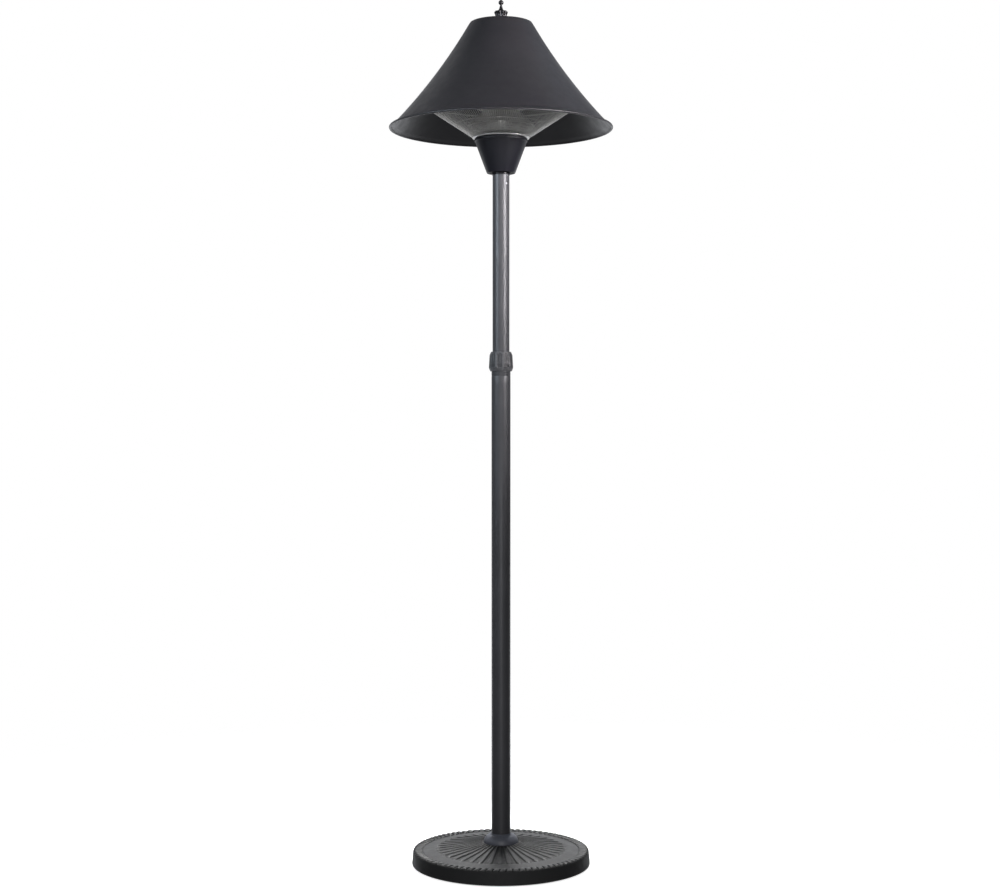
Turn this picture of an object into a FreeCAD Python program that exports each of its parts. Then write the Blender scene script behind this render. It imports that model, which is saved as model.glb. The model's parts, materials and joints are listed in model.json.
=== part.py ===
import FreeCAD, Part
import math
import os

# Free-standing electric patio heater in the form of a floor lamp.
# Millimetres. +Z is up, the origin is on the floor under the pole's axis,
# the front of the heater faces -Y.

Vec = FreeCAD.Vector
doc = FreeCAD.newDocument("PatioHeater")

# ---------------------------------------------------------------- dimensions
sheet = doc.addObject("Spreadsheet::Sheet", "Dims")

TABLE = [
    # base
    ("foot_radius", 14.0), ("foot_height", 3.0), ("foot_stem_radius", 4.0),
    ("foot_stem_height", 9.0), ("foot_ring_radius", 180.0),
    ("plate_radius", 203.4), ("plate_gauge", 1.5), ("plate_well_radius", 26.0),
    ("base_radius", 210.8), ("base_lip_radius", 208.8), ("base_lip_z", 2.4),
    ("base_belly_z", 7.5), ("base_top_radius", 208.4), ("base_top_z", 34.4),
    ("rope_radius", 197.6), ("rope_top_z", 37.9), ("rope_in_radius", 187.5),
    ("ring_z", 33.9), ("rib_end_radius", 152.0), ("rib_end_z", 37.4),
    ("hub_radius", 46.0), ("hub_z", 52.0), ("base_wall_radius", 204.0),
    ("shell_gauge", 3.0), ("bolt_hole_radius", 7.0),
    ("bolt_radius", 5.95), ("bolt_head_radius", 10.4), ("bolt_head_height", 7.5),
    ("bolt_head_z", 9.5), ("bolt_tip_z", 86.0), ("tie_washer_radius", 22.0),
    ("tie_washer_gauge", 3.0),
    # lower pole
    ("low_pole_radius", 22.5), ("low_pole_bore", 21.5), ("low_pole_foot_z", 52.1),
    ("low_pole_top_z", 1188.0),
    ("plug_radius", 21.45), ("plug_top_z", 90.0), ("plug_thread_radius", 6.0),
    ("plug_screw_z", 64.0), ("plug_screw_radius", 1.9), ("plug_screw_head", 3.4),
    ("flange_radius", 41.4), ("flange_top_radius", 24.2), ("flange_bore", 22.6),
    ("flange_top_z", 75.0),
    ("inlet_z", 120.0), ("inlet_hole_radius", 7.0), ("inlet_bore", 4.0),
    ("inlet_flange_radius", 9.0),
    # twist lock
    ("sleeve_bore", 20.08), ("sleeve_low_z", 1150.0), ("sleeve_in_radius", 21.42),
    ("sleeve_thread_radius", 22.4), ("sleeve_top_z", 1210.0), ("sleeve_slot", 2.0),
    ("collar_low_z", 1169.5), ("collar_top_z", 1215.8), ("collar_bore", 22.9),
    ("collar_top_bore", 20.6), ("collar_low_radius", 25.8),
    ("collar_belly_radius", 28.8), ("collar_belly_z", 1178.5),
    ("collar_shoulder_radius", 27.2), ("collar_shoulder_z", 1207.0),
    ("collar_top_radius", 23.5), ("collar_flute_radius", 5.0),
    ("collar_flute_depth", 1.2),
    # upper pole
    ("up_pole_radius", 20.0), ("up_pole_bore", 18.8), ("up_pole_low_z", 1100.0),
    ("up_pole_top_z", 1639.4), ("bush_top_z", 1140.0), ("bush_low_z", 1094.0),
    ("bush_radius", 21.42), ("bush_bore", 20.08), ("bush_hole", 14.0),
    # neck
    ("neck_ring_radius", 22.3), ("neck_ring_low_z", 1635.5),
    ("neck_plug_radius", 18.7), ("neck_plug_bore", 13.0),
    ("neck_plug_low_z", 1598.0), ("neck_plug_flange", 27.0),
    ("neck_screw_head", 2.6), ("neck_screw_radius", 1.9),
    ("neck_screw_up_z", 1632.6), ("neck_screw_low_z", 1614.0),
    ("neck_screw_turn", 41.0),
    # cup
    ("cup_low_z", 1639.6), ("cup_low_radius", 34.0), ("cup_lip_z", 1713.0),
    ("cup_lip_radius", 61.2), ("cup_bead_radius", 63.0), ("cup_top_z", 1722.4),
    ("cup_wall", 2.0), ("cup_floor", 2.5), ("cover_radius", 63.6),
    ("cover_gauge", 1.8), ("cover_rim", 4.6), ("lead_hole_radius", 4.0),
    # rear rocker switch
    ("switch_z", 1687.0), ("switch_face_y", 57.0), ("switch_half_width", 9.0),
    ("switch_half_height", 10.8), ("boss_margin", 3.0), ("rocker_half_width", 7.1),
    ("rocker_half_height", 8.4), ("rocker_pivot_y", 51.0), ("rocker_tilt", 8.0),
    ("rocker_pin_radius", 1.5),
    # stem and reflectors
    ("stem_radius", 5.0), ("stem_bore", 3.0), ("stem_low_z", 1706.0),
    ("stem_top_z", 2016.0), ("nut_radius", 9.2), ("nut_height", 6.0),
    ("nut_bore", 5.05), ("sheet_gauge", 0.8), ("stem_hole", 5.2),
    ("skirt_low_radius", 60.0), ("skirt_top_radius", 77.0), ("skirt_top_z", 1749.4),
    ("cone_rim_radius", 78.2), ("cone_rim_z", 1751.4), ("cone_bead", 1.5),
    ("cone_top_radius", 13.0), ("cone_top_z", 1818.0),
    ("spacer_radius", 8.0), ("dish_z", 1838.0), ("dish_flat_radius", 40.0),
    ("dish_edge_radius", 186.0), ("dish_edge_z", 1824.0),
    ("dish_lip_radius", 190.5), ("dish_lip_z", 1815.0),
    # lamp
    ("lamp_ring_radius", 105.0), ("lamp_z", 1812.0), ("lamp_tube_radius", 6.0),
    ("lamp_tube_bore", 4.8), ("lamp_arc", 330.0), ("filament_radius", 1.6),
    ("cap_radius", 8.0), ("cap_length", 14.0), ("clip_radius", 7.6),
    ("clip_width", 8.0), ("clip_leg_radius", 2.0), ("lead_wire_radius", 1.5),
    # guard
    ("guard_low_radius", 66.0), ("guard_low_z", 1724.2), ("guard_slope", 1.5193),
    ("guard_top_radius", 193.0), ("guard_wire_radius", 0.9),
    ("guard_ring_radius", 1.8), ("guard_hoop_radius", 1.2), ("guard_foot_radius", 2.1),
    ("guard_hoop_one", 110.0), ("guard_hoop_two", 154.0),
    ("guard_sectors", 12), ("guard_wires", 156),
    # shade
    ("shade_gauge", 0.8), ("shade_top_z", 1997.5), ("shade_top_radius", 67.0),
    ("shade_corner_radius", 75.2), ("shade_corner_z", 1994.3),
    ("shade_curve", 1332.0), ("shade_crease_radius", 250.8),
    ("shade_crease_z", 1755.8), ("shade_bead_radius", 262.9),
    ("shade_bead_z", 1746.4), ("shade_bead", 2.8),
    ("seat_radius", 26.0), ("seat_gauge", 2.0), ("top_washer_radius", 14.0),
    ("top_washer_gauge", 1.2),
    # finial
    ("finial_low_z", 1999.2), ("finial_foot_radius", 12.4), ("finial_bore", 5.4),
    ("finial_bore_top_z", 2018.0), ("finial_waist_radius", 13.6),
    ("finial_waist_z", 2012.6), ("finial_crown_radius", 16.4),
    ("finial_crown_z", 2021.4), ("finial_crown_top_z", 2024.4),
    ("finial_cone_radius", 5.2), ("finial_cone_z", 2028.6),
    ("finial_neck_radius", 2.4), ("finial_neck_z", 2038.2),
    ("finial_ball_radius", 6.0), ("finial_ball_z", 2045.0),
    ("finial_tip_radius", 1.6), ("finial_tip_z", 2053.0), ("finial_flutes", 9),
    # inner lead
    ("coil_radius", 12.0), ("coil_low_z", 100.0), ("coil_top_z", 1089.6),
    ("lead_radius", 3.6), ("lead_low_z", 1090.0), ("lead_bend_z", 1672.0),
    ("terminal_y", -26.0),
]


class Size:
    """A dimension: its value now and the expression that drives it."""

    def __init__(self, value, text):
        self.value = float(value)
        self.text = text

    def __add__(self, other):
        other = size(other)
        return Size(self.value + other.value, "(%s + %s)" % (self.text, other.text))

    def __sub__(self, other):
        other = size(other)
        return Size(self.value - other.value, "(%s - %s)" % (self.text, other.text))

    def __mul__(self, other):
        other = size(other)
        return Size(self.value * other.value, "(%s * %s)" % (self.text, other.text))

    def __truediv__(self, other):
        other = size(other)
        return Size(self.value / other.value, "(%s / %s)" % (self.text, other.text))

    def __radd__(self, other):
        return size(other) + self

    def __rsub__(self, other):
        return size(other) - self

    def __rmul__(self, other):
        return size(other) * self

    def __neg__(self):
        return Size(-self.value, "(0 - %s)" % self.text)


def size(v):
    if isinstance(v, Size):
        return v
    return Size(v, "%.4f" % v if v >= 0 else "(0 - %.4f)" % -v)


D = {}
for row, (word, number) in enumerate(TABLE, start=1):
    sheet.set("A%d" % row, word)
    sheet.set("B%d" % row, "%g" % number)
    sheet.setAlias("B%d" % row, word)
    D[word] = Size(number, "Dims.%s" % word)
doc.recompute()


def d(word):
    return D[word]


NODES = []


def node(obj, label):
    obj.Label = label
    NODES.append(obj)
    return obj


# ------------------------------------------------------------------- helpers
def plane_of(body, role):
    for feature in body.Origin.OriginFeatures:
        if feature.Role == role:
            return feature
    raise RuntimeError("no plane " + role)


def section(body, name, loop):
    """Closed section in the XZ plane. Each corner is (radius, z) or
    (radius, z, arc radius, side): the edge that starts there is then an arc,
    with its centre on the left (side 1) or right (side -1) of the run."""
    sk = body.newObject("Sketcher::SketchObject", name)
    sk.AttachmentSupport = [(plane_of(body, "XZ_Plane"), "")]
    sk.MapMode = "FlatFace"
    import Sketcher
    n = len(loop)
    first, last = [], []
    for i in range(n):
        a, b = loop[i], loop[(i + 1) % n]
        p = Vec(size(a[0]).value, size(a[1]).value, 0)
        q = Vec(size(b[0]).value, size(b[1]).value, 0)
        if len(a) == 2:
            sk.addGeometry(Part.LineSegment(p, q), False)
            first.append(1)
            last.append(2)
        else:
            radius, side = size(a[2]).value, a[3]
            half = (q - p).Length / 2.0
            mid = (p + q) * 0.5
            run = (q - p).normalize()
            left = Vec(-run.y, run.x, 0)
            rise = math.sqrt(max(radius * radius - half * half, 0.0))
            c = mid + left * (rise * side)
            a0 = math.atan2(p.y - c.y, p.x - c.x)
            a1 = math.atan2(q.y - c.y, q.x - c.x)
            circle = Part.Circle(c, Vec(0, 0, 1), radius)
            if side > 0:
                sk.addGeometry(Part.ArcOfCircle(circle, a0, a1), False)
                first.append(1)
                last.append(2)
            else:
                sk.addGeometry(Part.ArcOfCircle(circle, a1, a0), False)
                first.append(2)
                last.append(1)
    for i in range(n):
        j = (i + 1) % n
        sk.addConstraint(Sketcher.Constraint("Coincident", i, last[i], j, first[j]))
    for i in range(n):
        r, z = size(loop[i][0]), size(loop[i][1])
        if r.value == 0.0:
            sk.addConstraint(Sketcher.Constraint("PointOnObject", i, first[i], -2))
        else:
            k = sk.addConstraint(Sketcher.Constraint("DistanceX", -1, 1, i, first[i], r.value))
            sk.setExpression("Constraints[%d]" % k, r.text)
        k = sk.addConstraint(Sketcher.Constraint("DistanceY", -1, 1, i, first[i], z.value))
        sk.setExpression("Constraints[%d]" % k, z.text)
        if len(loop[i]) > 2:
            k = sk.addConstraint(Sketcher.Constraint("Radius", i, size(loop[i][2]).value))
            sk.setExpression("Constraints[%d]" % k, size(loop[i][2]).text)
    return sk


def turned(name, loop):
    """Body turned about the Z axis from a section in the XZ plane."""
    body = doc.addObject("PartDesign::Body", name + "_body")
    sk = section(body, name + "_section", loop)
    turn = body.newObject("PartDesign::Revolution", name + "_turn")
    turn.Profile = sk
    turn.ReferenceAxis = (sk, ["V_Axis"])
    turn.Angle = 360.0
    body.Tip = turn
    return body


def cyl(name, radius, height, base=(0, 0, 0), axis=(0, 0, 1)):
    obj = doc.addObject("Part::Cylinder", name)
    obj.setExpression("Radius", size(radius).text)
    obj.setExpression("Height", size(height).text)
    x, y, z = [size(c) for c in base]
    obj.Placement = FreeCAD.Placement(Vec(x.value, y.value, z.value),
                                      FreeCAD.Rotation(Vec(0, 0, 1), Vec(*axis)))
    if tuple(axis) == (0, 0, 1):
        obj.setExpression("Placement.Base.z", z.text)
    return obj


def hexagon(name, radius, height, base=(0, 0, 0)):
    obj = doc.addObject("Part::Prism", name)
    obj.Polygon = 6
    obj.setExpression("Circumradius", size(radius).text)
    obj.setExpression("Height", size(height).text)
    x, y, z = [size(c) for c in base]
    obj.Placement = FreeCAD.Placement(Vec(x.value, y.value, z.value), FreeCAD.Rotation())
    obj.setExpression("Placement.Base.z", z.text)
    return obj


def block(name, low, high):
    obj = doc.addObject("Part::Box", name)
    lo = [size(c) for c in low]
    hi = [size(c) for c in high]
    for prop, a, b in zip(("Length", "Width", "Height"), lo, hi):
        obj.setExpression(prop, (b - a).text)
    obj.Placement = FreeCAD.Placement(Vec(*[c.value for c in lo]), FreeCAD.Rotation())
    for axis, a in zip("xyz", lo):
        obj.setExpression("Placement.Base.%s" % axis, a.text)
    return obj


def group(name, members):
    obj = doc.addObject("Part::Compound", name)
    obj.Links = list(members)
    return obj


def fuse(name, members):
    obj = doc.addObject("Part::MultiFuse", name)
    obj.Shapes = list(members)
    return obj


def cut(name, base, tools):
    obj = doc.addObject("Part::Cut", name)
    obj.Base = base
    obj.Tool = tools[0] if len(tools) == 1 else group(name + "_tools", tools)
    return obj


def around(count, radius, start=0.0):
    out = []
    for i in range(count):
        a = math.radians(start + 360.0 * i / count)
        out.append((radius * math.cos(a), radius * math.sin(a), a))
    return out


# ---------------------------------------------------------------------- base
feet_at = around(6, d("foot_ring_radius").value, 30.0)

feet = []
for i, (x, y, a) in enumerate(feet_at):
    pad = cyl("foot_pad_%d" % i, d("foot_radius"), d("foot_height"), (x, y, 0))
    peg = cyl("foot_peg_%d" % i, d("foot_stem_radius"),
              d("foot_height") + d("foot_stem_height"), (x, y, 0))
    feet.append(fuse("foot_%d" % i, [pad, peg]))
node(group("feet", feet), "rubber_feet")


def peg_holes(name):
    return [cyl("%s_peg_hole_%d" % (name, i), d("foot_stem_radius") + 0.1, 12.0, (x, y, 2.0))
            for i, (x, y, a) in enumerate(feet_at)]


plate_z = d("foot_height")
plate_top = plate_z + d("plate_gauge")
plate_disc = turned("plate_disc", [
    (d("plate_well_radius"), plate_z), (d("plate_radius"), plate_z),
    (d("plate_radius"), plate_top), (d("plate_well_radius"), plate_top)])
node(cut("plate", plate_disc, peg_holes("plate")), "base_plate")

g = d("shell_gauge")
# moulded cover: side wall, broad rope border at the edge, flat ring, low dome to the hub
node(turned("shell", [
    (d("base_lip_radius") - 3.0, d("base_lip_z")),
    (d("base_lip_radius"), d("base_lip_z")),
    (d("base_radius") - 0.4, d("base_lip_z") + 1.8),
    (d("base_radius"), d("base_belly_z")),
    (d("base_top_radius"), d("base_top_z")),
    (d("base_top_radius") - 1.8, d("rope_top_z") - 1.1),
    (d("rope_radius") + 4.6, d("rope_top_z")),
    (d("rope_radius") - 4.6, d("rope_top_z")),
    (d("rope_in_radius") + 1.7, d("rope_top_z") - 1.3),
    (d("rope_in_radius"), d("ring_z")),
    (d("rib_end_radius"), d("rib_end_z")),
    (d("hub_radius"), d("hub_z")),
    (d("bolt_hole_radius"), d("hub_z")),
    (d("bolt_hole_radius"), d("hub_z") - g),
    (d("hub_radius") - 1.0, d("hub_z") - g),
    (d("rib_end_radius") - 0.5, d("rib_end_z") - g),
    (d("rope_in_radius"), d("ring_z") - g),
    (d("base_wall_radius"), d("ring_z") - g),
]), "base_shell")

b = 0.5
ballast_disc = turned("ballast_disc", [
    (d("plate_well_radius"), plate_top + 0.1),
    (d("base_wall_radius") - 1.2, plate_top + 0.1),
    (d("base_wall_radius") - 1.2, d("ring_z") - g - b),
    (d("rope_in_radius"), d("ring_z") - g - b),
    (d("rib_end_radius") - 0.5, d("rib_end_z") - g - b),
    (d("hub_radius") - 1.0, d("hub_z") - g - b),
    (d("bolt_hole_radius"), d("hub_z") - g - b),
    (d("bolt_hole_radius"), d("bolt_head_z") + d("bolt_head_height") + d("tie_washer_gauge")),
    (d("plate_well_radius"), d("bolt_head_z") + d("bolt_head_height") + d("tie_washer_gauge")),
])
node(cut("ballast", ballast_disc, peg_holes("ballast")), "base_ballast")

head_top = d("bolt_head_z") + d("bolt_head_height")
node(fuse("tie_bolt_solid", [
    hexagon("tie_bolt_head", d("bolt_head_radius"), d("bolt_head_height"), (0, 0, d("bolt_head_z"))),
    cyl("tie_bolt_shank", d("bolt_radius"), d("bolt_tip_z") - d("bolt_head_z"), (0, 0, d("bolt_head_z"))),
]), "tie_bolt")

node(turned("tie_washer_ring", [
    (d("bolt_radius") + 0.4, head_top), (d("tie_washer_radius"), head_top),
    (d("tie_washer_radius"), head_top + d("tie_washer_gauge")),
    (d("bolt_radius") + 0.4, head_top + d("tie_washer_gauge"))]), "tie_washer")

# --------------------------------------------------------------- lower pole
SIDES = ((1, 0, 0), (-1, 0, 0))

plug_solid = turned("foot_plug_solid", [
    (d("plug_thread_radius"), d("low_pole_foot_z")), (d("plug_radius"), d("low_pole_foot_z")),
    (d("plug_radius"), d("plug_top_z")), (d("plug_thread_radius"), d("plug_top_z"))])
node(cut("foot_plug_part", plug_solid, [
    cyl("plug_screw_hole_%d" % i, d("plug_screw_radius") + 0.1, 16.0,
        (v[0] * 12.0, 0, d("plug_screw_z")), v) for i, v in enumerate(SIDES)]), "foot_plug")

screws = []
for i, v in enumerate(SIDES):
    shank = cyl("plug_screw_shank_%d" % i, d("plug_screw_radius"), 10.0,
                (v[0] * 13.0, 0, d("plug_screw_z")), v)
    head = cyl("plug_screw_top_%d" % i, d("plug_screw_head"), 1.8,
               (v[0] * (d("low_pole_radius").value + 0.05), 0, d("plug_screw_z")), v)
    screws.append(fuse("plug_screw_%d" % i, [shank, head]))
node(group("plug_screw_pair", screws), "plug_screws")

pole_out = cyl("low_pole_out", d("low_pole_radius"), d("low_pole_top_z") - d("low_pole_foot_z"),
               (0, 0, d("low_pole_foot_z")))
pole_in = cyl("low_pole_in", d("low_pole_bore"), d("low_pole_top_z") - d("low_pole_foot_z") + 2.0,
              (0, 0, d("low_pole_foot_z") - 1.0))
inlet_hole = cyl("inlet_hole", d("inlet_hole_radius"), 20.0, (0, 10.0, d("inlet_z")), (0, 1, 0))
node(cut("low_pole", pole_out, [pole_in, inlet_hole] + [
    cyl("low_pole_screw_hole_%d" % i, d("plug_screw_radius") + 0.2, 10.0,
        (v[0] * 18.0, 0, d("plug_screw_z")), v) for i, v in enumerate(SIDES)]), "lower_pole")

# bell-shaped collar over the foot of the pole
node(turned("flange", [
    (d("flange_radius") - 2.2, d("hub_z") + 0.1),
    (d("flange_radius") - 0.6, d("hub_z") + 0.1),
    (d("flange_radius"), d("hub_z") + 1.6),
    (d("flange_radius") - 1.4, d("hub_z") + 5.0, 26.0, 1),
    (d("flange_top_radius") + 2.0, d("flange_top_z") - 2.6),
    (d("flange_top_radius"), d("flange_top_z")),
    (d("flange_bore"), d("flange_top_z")),
    (d("flange_bore"), d("flange_top_z") - 3.2),
    (d("flange_bore") + 2.0, d("flange_top_z") - 4.4),
    (d("flange_radius") - 3.6, d("hub_z") + 4.6),
]), "pole_flange")

grommet_body = fuse("grommet_body", [
    cyl("grommet_neck", d("inlet_hole_radius") - 0.1, 7.5, (0, 17.0, d("inlet_z")), (0, 1, 0)),
    cyl("grommet_outer", d("inlet_flange_radius"), 2.0, (0, 22.55, d("inlet_z")), (0, 1, 0)),
    cyl("grommet_inner", d("inlet_flange_radius"), 2.0, (0, 17.0, d("inlet_z")), (0, 1, 0))])
node(cut("grommet", grommet_body, [
    cyl("grommet_hole", d("inlet_bore"), 12.0, (0, 15.0, d("inlet_z")), (0, 1, 0))]), "cord_grommet")

node(cyl("coil", d("coil_radius"), d("coil_top_z") - d("coil_low_z"), (0, 0, d("coil_low_z"))),
     "lead_coil")

# ---------------------------------------------------------------- twist lock
sleeve_solid = turned("sleeve_solid", [
    (d("sleeve_bore"), d("sleeve_low_z")), (d("sleeve_in_radius"), d("sleeve_low_z")),
    (d("sleeve_in_radius"), d("low_pole_top_z") + 0.05),
    (d("sleeve_thread_radius"), d("low_pole_top_z") + 0.05),
    (d("sleeve_thread_radius"), d("sleeve_top_z") - 4.0),
    (d("sleeve_thread_radius") - 1.0, d("sleeve_top_z")),
    (d("sleeve_bore"), d("sleeve_top_z"))])
slot_low = d("low_pole_top_z") + 4.0
slot = d("sleeve_slot") / 2.0
node(cut("sleeve", sleeve_solid, [
    block("sleeve_slot_x", (-30.0, -slot, slot_low), (30.0, slot, d("sleeve_top_z") + 5.0)),
    block("sleeve_slot_y", (-slot, -30.0, slot_low), (slot, 30.0, d("sleeve_top_z") + 5.0))]),
    "lock_sleeve")

collar_solid = turned("collar_solid", [
    (d("collar_bore"), d("collar_low_z")),
    (d("collar_low_radius"), d("collar_low_z")),
    (d("collar_belly_radius"), d("collar_belly_z")),
    (d("collar_shoulder_radius"), d("collar_shoulder_z")),
    (d("collar_top_radius") + 1.0, d("collar_top_z") - 1.4),
    (d("collar_top_radius"), d("collar_top_z")),
    (d("collar_top_bore"), d("collar_top_z")),
    (d("collar_top_bore"), d("sleeve_top_z") + 1.2),
    (d("collar_bore"), d("sleeve_top_z") + 0.4)])
flute_at = d("collar_belly_radius").value + d("collar_flute_radius").value - d("collar_flute_depth").value
node(cut("collar", collar_solid, [
    cyl("collar_flute_%d" % i, d("collar_flute_radius"), 26.0, (x, y, d("collar_belly_z") + 1.0))
    for i, (x, y, a) in enumerate(around(10, flute_at, 18.0))]), "lock_collar")

node(turned("bush", [
    (d("bush_hole"), d("bush_low_z")), (d("bush_radius"), d("bush_low_z")),
    (d("bush_radius"), d("bush_top_z")), (d("bush_bore"), d("bush_top_z")),
    (d("bush_bore"), d("up_pole_low_z") - 0.2), (d("bush_hole"), d("up_pole_low_z") - 0.2)]),
    "guide_bush")

# ---------------------------------------------------------------- upper pole
turn = math.radians(d("neck_screw_turn").value)
right = (math.sin(turn), -math.cos(turn), 0.0)
screw_z = (d("neck_screw_up_z"), d("neck_screw_low_z"))


def neck_holes(name, radius):
    return [cyl("%s_screw_hole_%d" % (name, i), radius, 14.0,
                (right[0] * 10.0, right[1] * 10.0, z.value), right) for i, z in enumerate(screw_z)]


up_out = cyl("up_pole_out", d("up_pole_radius"), d("up_pole_top_z") - d("up_pole_low_z"),
             (0, 0, d("up_pole_low_z")))
up_in = cyl("up_pole_in", d("up_pole_bore"), d("up_pole_top_z") - d("up_pole_low_z") + 2.0,
            (0, 0, d("up_pole_low_z") - 1.0))
node(cut("up_pole", up_out, [up_in] + neck_holes("up_pole", d("neck_screw_radius") + 0.2)),
     "upper_pole")

cup_inside_z = d("cup_low_z") + d("cup_floor")
neck_plug_solid = turned("neck_plug_solid", [
    (d("neck_plug_bore"), d("neck_plug_low_z")), (d("neck_plug_radius"), d("neck_plug_low_z")),
    (d("neck_plug_radius"), cup_inside_z + 0.1), (d("neck_plug_flange"), cup_inside_z + 0.1),
    (d("neck_plug_flange"), cup_inside_z + 3.1), (d("neck_plug_bore"), cup_inside_z + 3.1)])
node(cut("neck_plug_part", neck_plug_solid, neck_holes("neck_plug", d("neck_screw_radius") + 0.1)),
     "neck_plug")

node(turned("neck_ring_solid", [
    (d("up_pole_radius") + 0.1, d("neck_ring_low_z")),
    (d("neck_ring_radius") - 0.4, d("neck_ring_low_z")),
    (d("neck_ring_radius"), d("neck_ring_low_z") + 0.8),
    (d("neck_ring_radius"), d("cup_low_z") - 0.1),
    (d("up_pole_radius") + 0.1, d("cup_low_z") - 0.1)]), "neck_ring")

screws = []
for i, z in enumerate(screw_z):
    shank = cyl("neck_screw_shank_%d" % i, d("neck_screw_radius"), 7.0,
                (right[0] * 14.0, right[1] * 14.0, z.value), right)
    seat = d("up_pole_radius").value + 0.05
    head = cyl("neck_screw_top_%d" % i, d("neck_screw_head"), 1.7,
               (right[0] * seat, right[1] * seat, z.value), right)
    screws.append(fuse("neck_screw_%d" % i, [shank, head]))
node(group("neck_screw_pair", screws), "neck_screws")

# ----------------------------------------------------------------------- cup
w = d("cup_wall")
cup_shell = turned("cup_shell", [
    (d("neck_plug_radius") + 0.1, d("cup_low_z")),
    (d("cup_low_radius") - 0.8, d("cup_low_z")),
    (d("cup_low_radius"), d("cup_low_z") + 1.0),
    (d("cup_lip_radius"), d("cup_lip_z")),
    (d("cup_bead_radius"), d("cup_lip_z") + 2.4),
    (d("cup_bead_radius"), d("cup_top_z") - 1.6),
    (d("cup_bead_radius") - 1.4, d("cup_top_z")),
    (d("cup_bead_radius") - 3.4, d("cup_top_z")),
    (d("cup_bead_radius") - 3.4, d("cup_lip_z") + 2.4),
    (d("cup_low_radius") - w, cup_inside_z),
    (d("neck_plug_radius") + 0.1, cup_inside_z)])
m = d("boss_margin")
hx, hz = d("switch_half_width"), d("switch_half_height")
boss = block("switch_boss", (-(hx + m), 36.0, d("switch_z") - hz - m),
             (hx + m, d("switch_face_y") - 1.0, d("switch_z") + hz + m))
cup_filled = fuse("cup_filled", [cup_shell, boss])
window = block("switch_window", (-(hx + 0.15), 20.0, d("switch_z") - hz - 0.15),
               (hx + 0.15, d("switch_face_y") + 4.0, d("switch_z") + hz + 0.15))
node(cut("cup_part", cup_filled, [window]), "cup")

cover_low = d("cup_top_z") + 0.1
cover_top = cover_low + d("cover_gauge")
WIRE_X = 14.0
WIRE_Y = 7.0
cover_disc = turned("cover_disc", [
    (d("stem_hole"), cover_low), (d("cover_radius") - 0.5, cover_low),
    (d("cover_radius"), cover_low + 0.6), (d("cover_radius"), cover_low + d("cover_rim") - 0.3),
    (d("cover_radius") - 0.3, cover_low + d("cover_rim")),
    (d("cover_radius") - 1.0, cover_low + d("cover_rim")),
    (d("cover_radius") - 1.2, cover_top + 0.6),
    (d("cover_radius") - 1.8, cover_top), (d("stem_hole"), cover_top)])


def wire_holes(name, low, high, radius):
    return [cyl("%s_wire_hole_%d" % (name, i), radius, high - low, (sx * WIRE_X, WIRE_Y, low))
            for i, sx in enumerate((1, -1))]


node(cut("cover_part", cover_disc, wire_holes("cover", 1715.0, 1735.0, 2.2)), "cup_cover")

node(block("terminal", (-20.0, -34.0, 1707.0), (20.0, -18.0, cover_low - 0.05)), "terminal_block")
node(block("tip_switch", (-11.0, 18.0, 1703.0), (11.0, 32.0, cover_low - 0.05)), "tip_over_switch")

# rocker switch in the rear of the cup
sw_box = block("switch_box", (-hx, 32.0, d("switch_z") - hz), (hx, d("switch_face_y"), d("switch_z") + hz))
sw_well = block("switch_well", (-(d("rocker_half_width") + 0.4), 45.5, d("switch_z") - hz + 1.2),
                (d("rocker_half_width") + 0.4, d("switch_face_y") + 4.0, d("switch_z") + hz - 1.2))
pin = d("rocker_pin_radius")
sw_pin = cyl("switch_pin_holes", pin + 0.1, 16.8, (-8.4, d("rocker_pivot_y"), d("switch_z")), (1, 0, 0))
node(cut("switch_part", sw_box, [sw_well, sw_pin]), "switch_body")

# rocker: dished paddle, stored with its lower half pressed in
rocker = doc.addObject("Part::Feature", "rocker_part")
half_w = d("rocker_half_width").value
half_h = d("rocker_half_height").value
pts = [(-3.2, -3.0), (0.0, -half_h), (5.4, -half_h), (6.9, -half_h + 1.2), (6.0, 0.0),
       (6.9, half_h - 1.2), (5.4, half_h), (0.0, half_h), (-3.2, 3.0)]
outline = [Vec(-half_w, y, z) for y, z in pts]
paddle = Part.Face(Part.makePolygon(outline + [outline[0]])).extrude(Vec(2 * half_w, 0, 0))
trunnion = Part.makeCylinder(pin.value, 16.4, Vec(-8.2, 0, 0), Vec(1, 0, 0))
solid = paddle.fuse(trunnion).removeSplitter()
rocker.Shape = solid
rocker.Placement = FreeCAD.Placement(
    Vec(0, d("rocker_pivot_y").value, d("switch_z").value),
    FreeCAD.Rotation(Vec(1, 0, 0), -d("rocker_tilt").value))
node(rocker, "switch_rocker")

# ------------------------------------------------------- stem and reflectors
stem_out = cyl("stem_out", d("stem_radius"), d("stem_top_z") - d("stem_low_z"), (0, 0, d("stem_low_z")))
stem_in = cyl("stem_in", d("stem_bore"), d("stem_top_z") - d("stem_low_z") + 2.0, (0, 0, d("stem_low_z") - 1.0))
node(cut("stem_part", stem_out, [stem_in]), "stem")

cone_cap = d("cone_top_z") + d("sheet_gauge")
dish_top = d("dish_z") + d("sheet_gauge")
seat_low = d("shade_top_z") - d("shade_gauge") - d("seat_gauge") - 0.1
nut_z = [cover_low - d("nut_height") - 0.05, cone_cap + 0.1, dish_top + 0.1,
         seat_low - d("nut_height") - 0.1]
nuts = []
for i, z in enumerate(nut_z):
    blank = hexagon("nut_blank_%d" % i, d("nut_radius"), d("nut_height"), (0, 0, z))
    hole = cyl("nut_hole_%d" % i, d("nut_bore"), d("nut_height") + 2.0, (0, 0, z - 1.0))
    nuts.append(cut("nut_%d" % i, blank, [hole]))
node(group("nut_set", nuts), "stem_nuts")

t = d("sheet_gauge")
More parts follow.
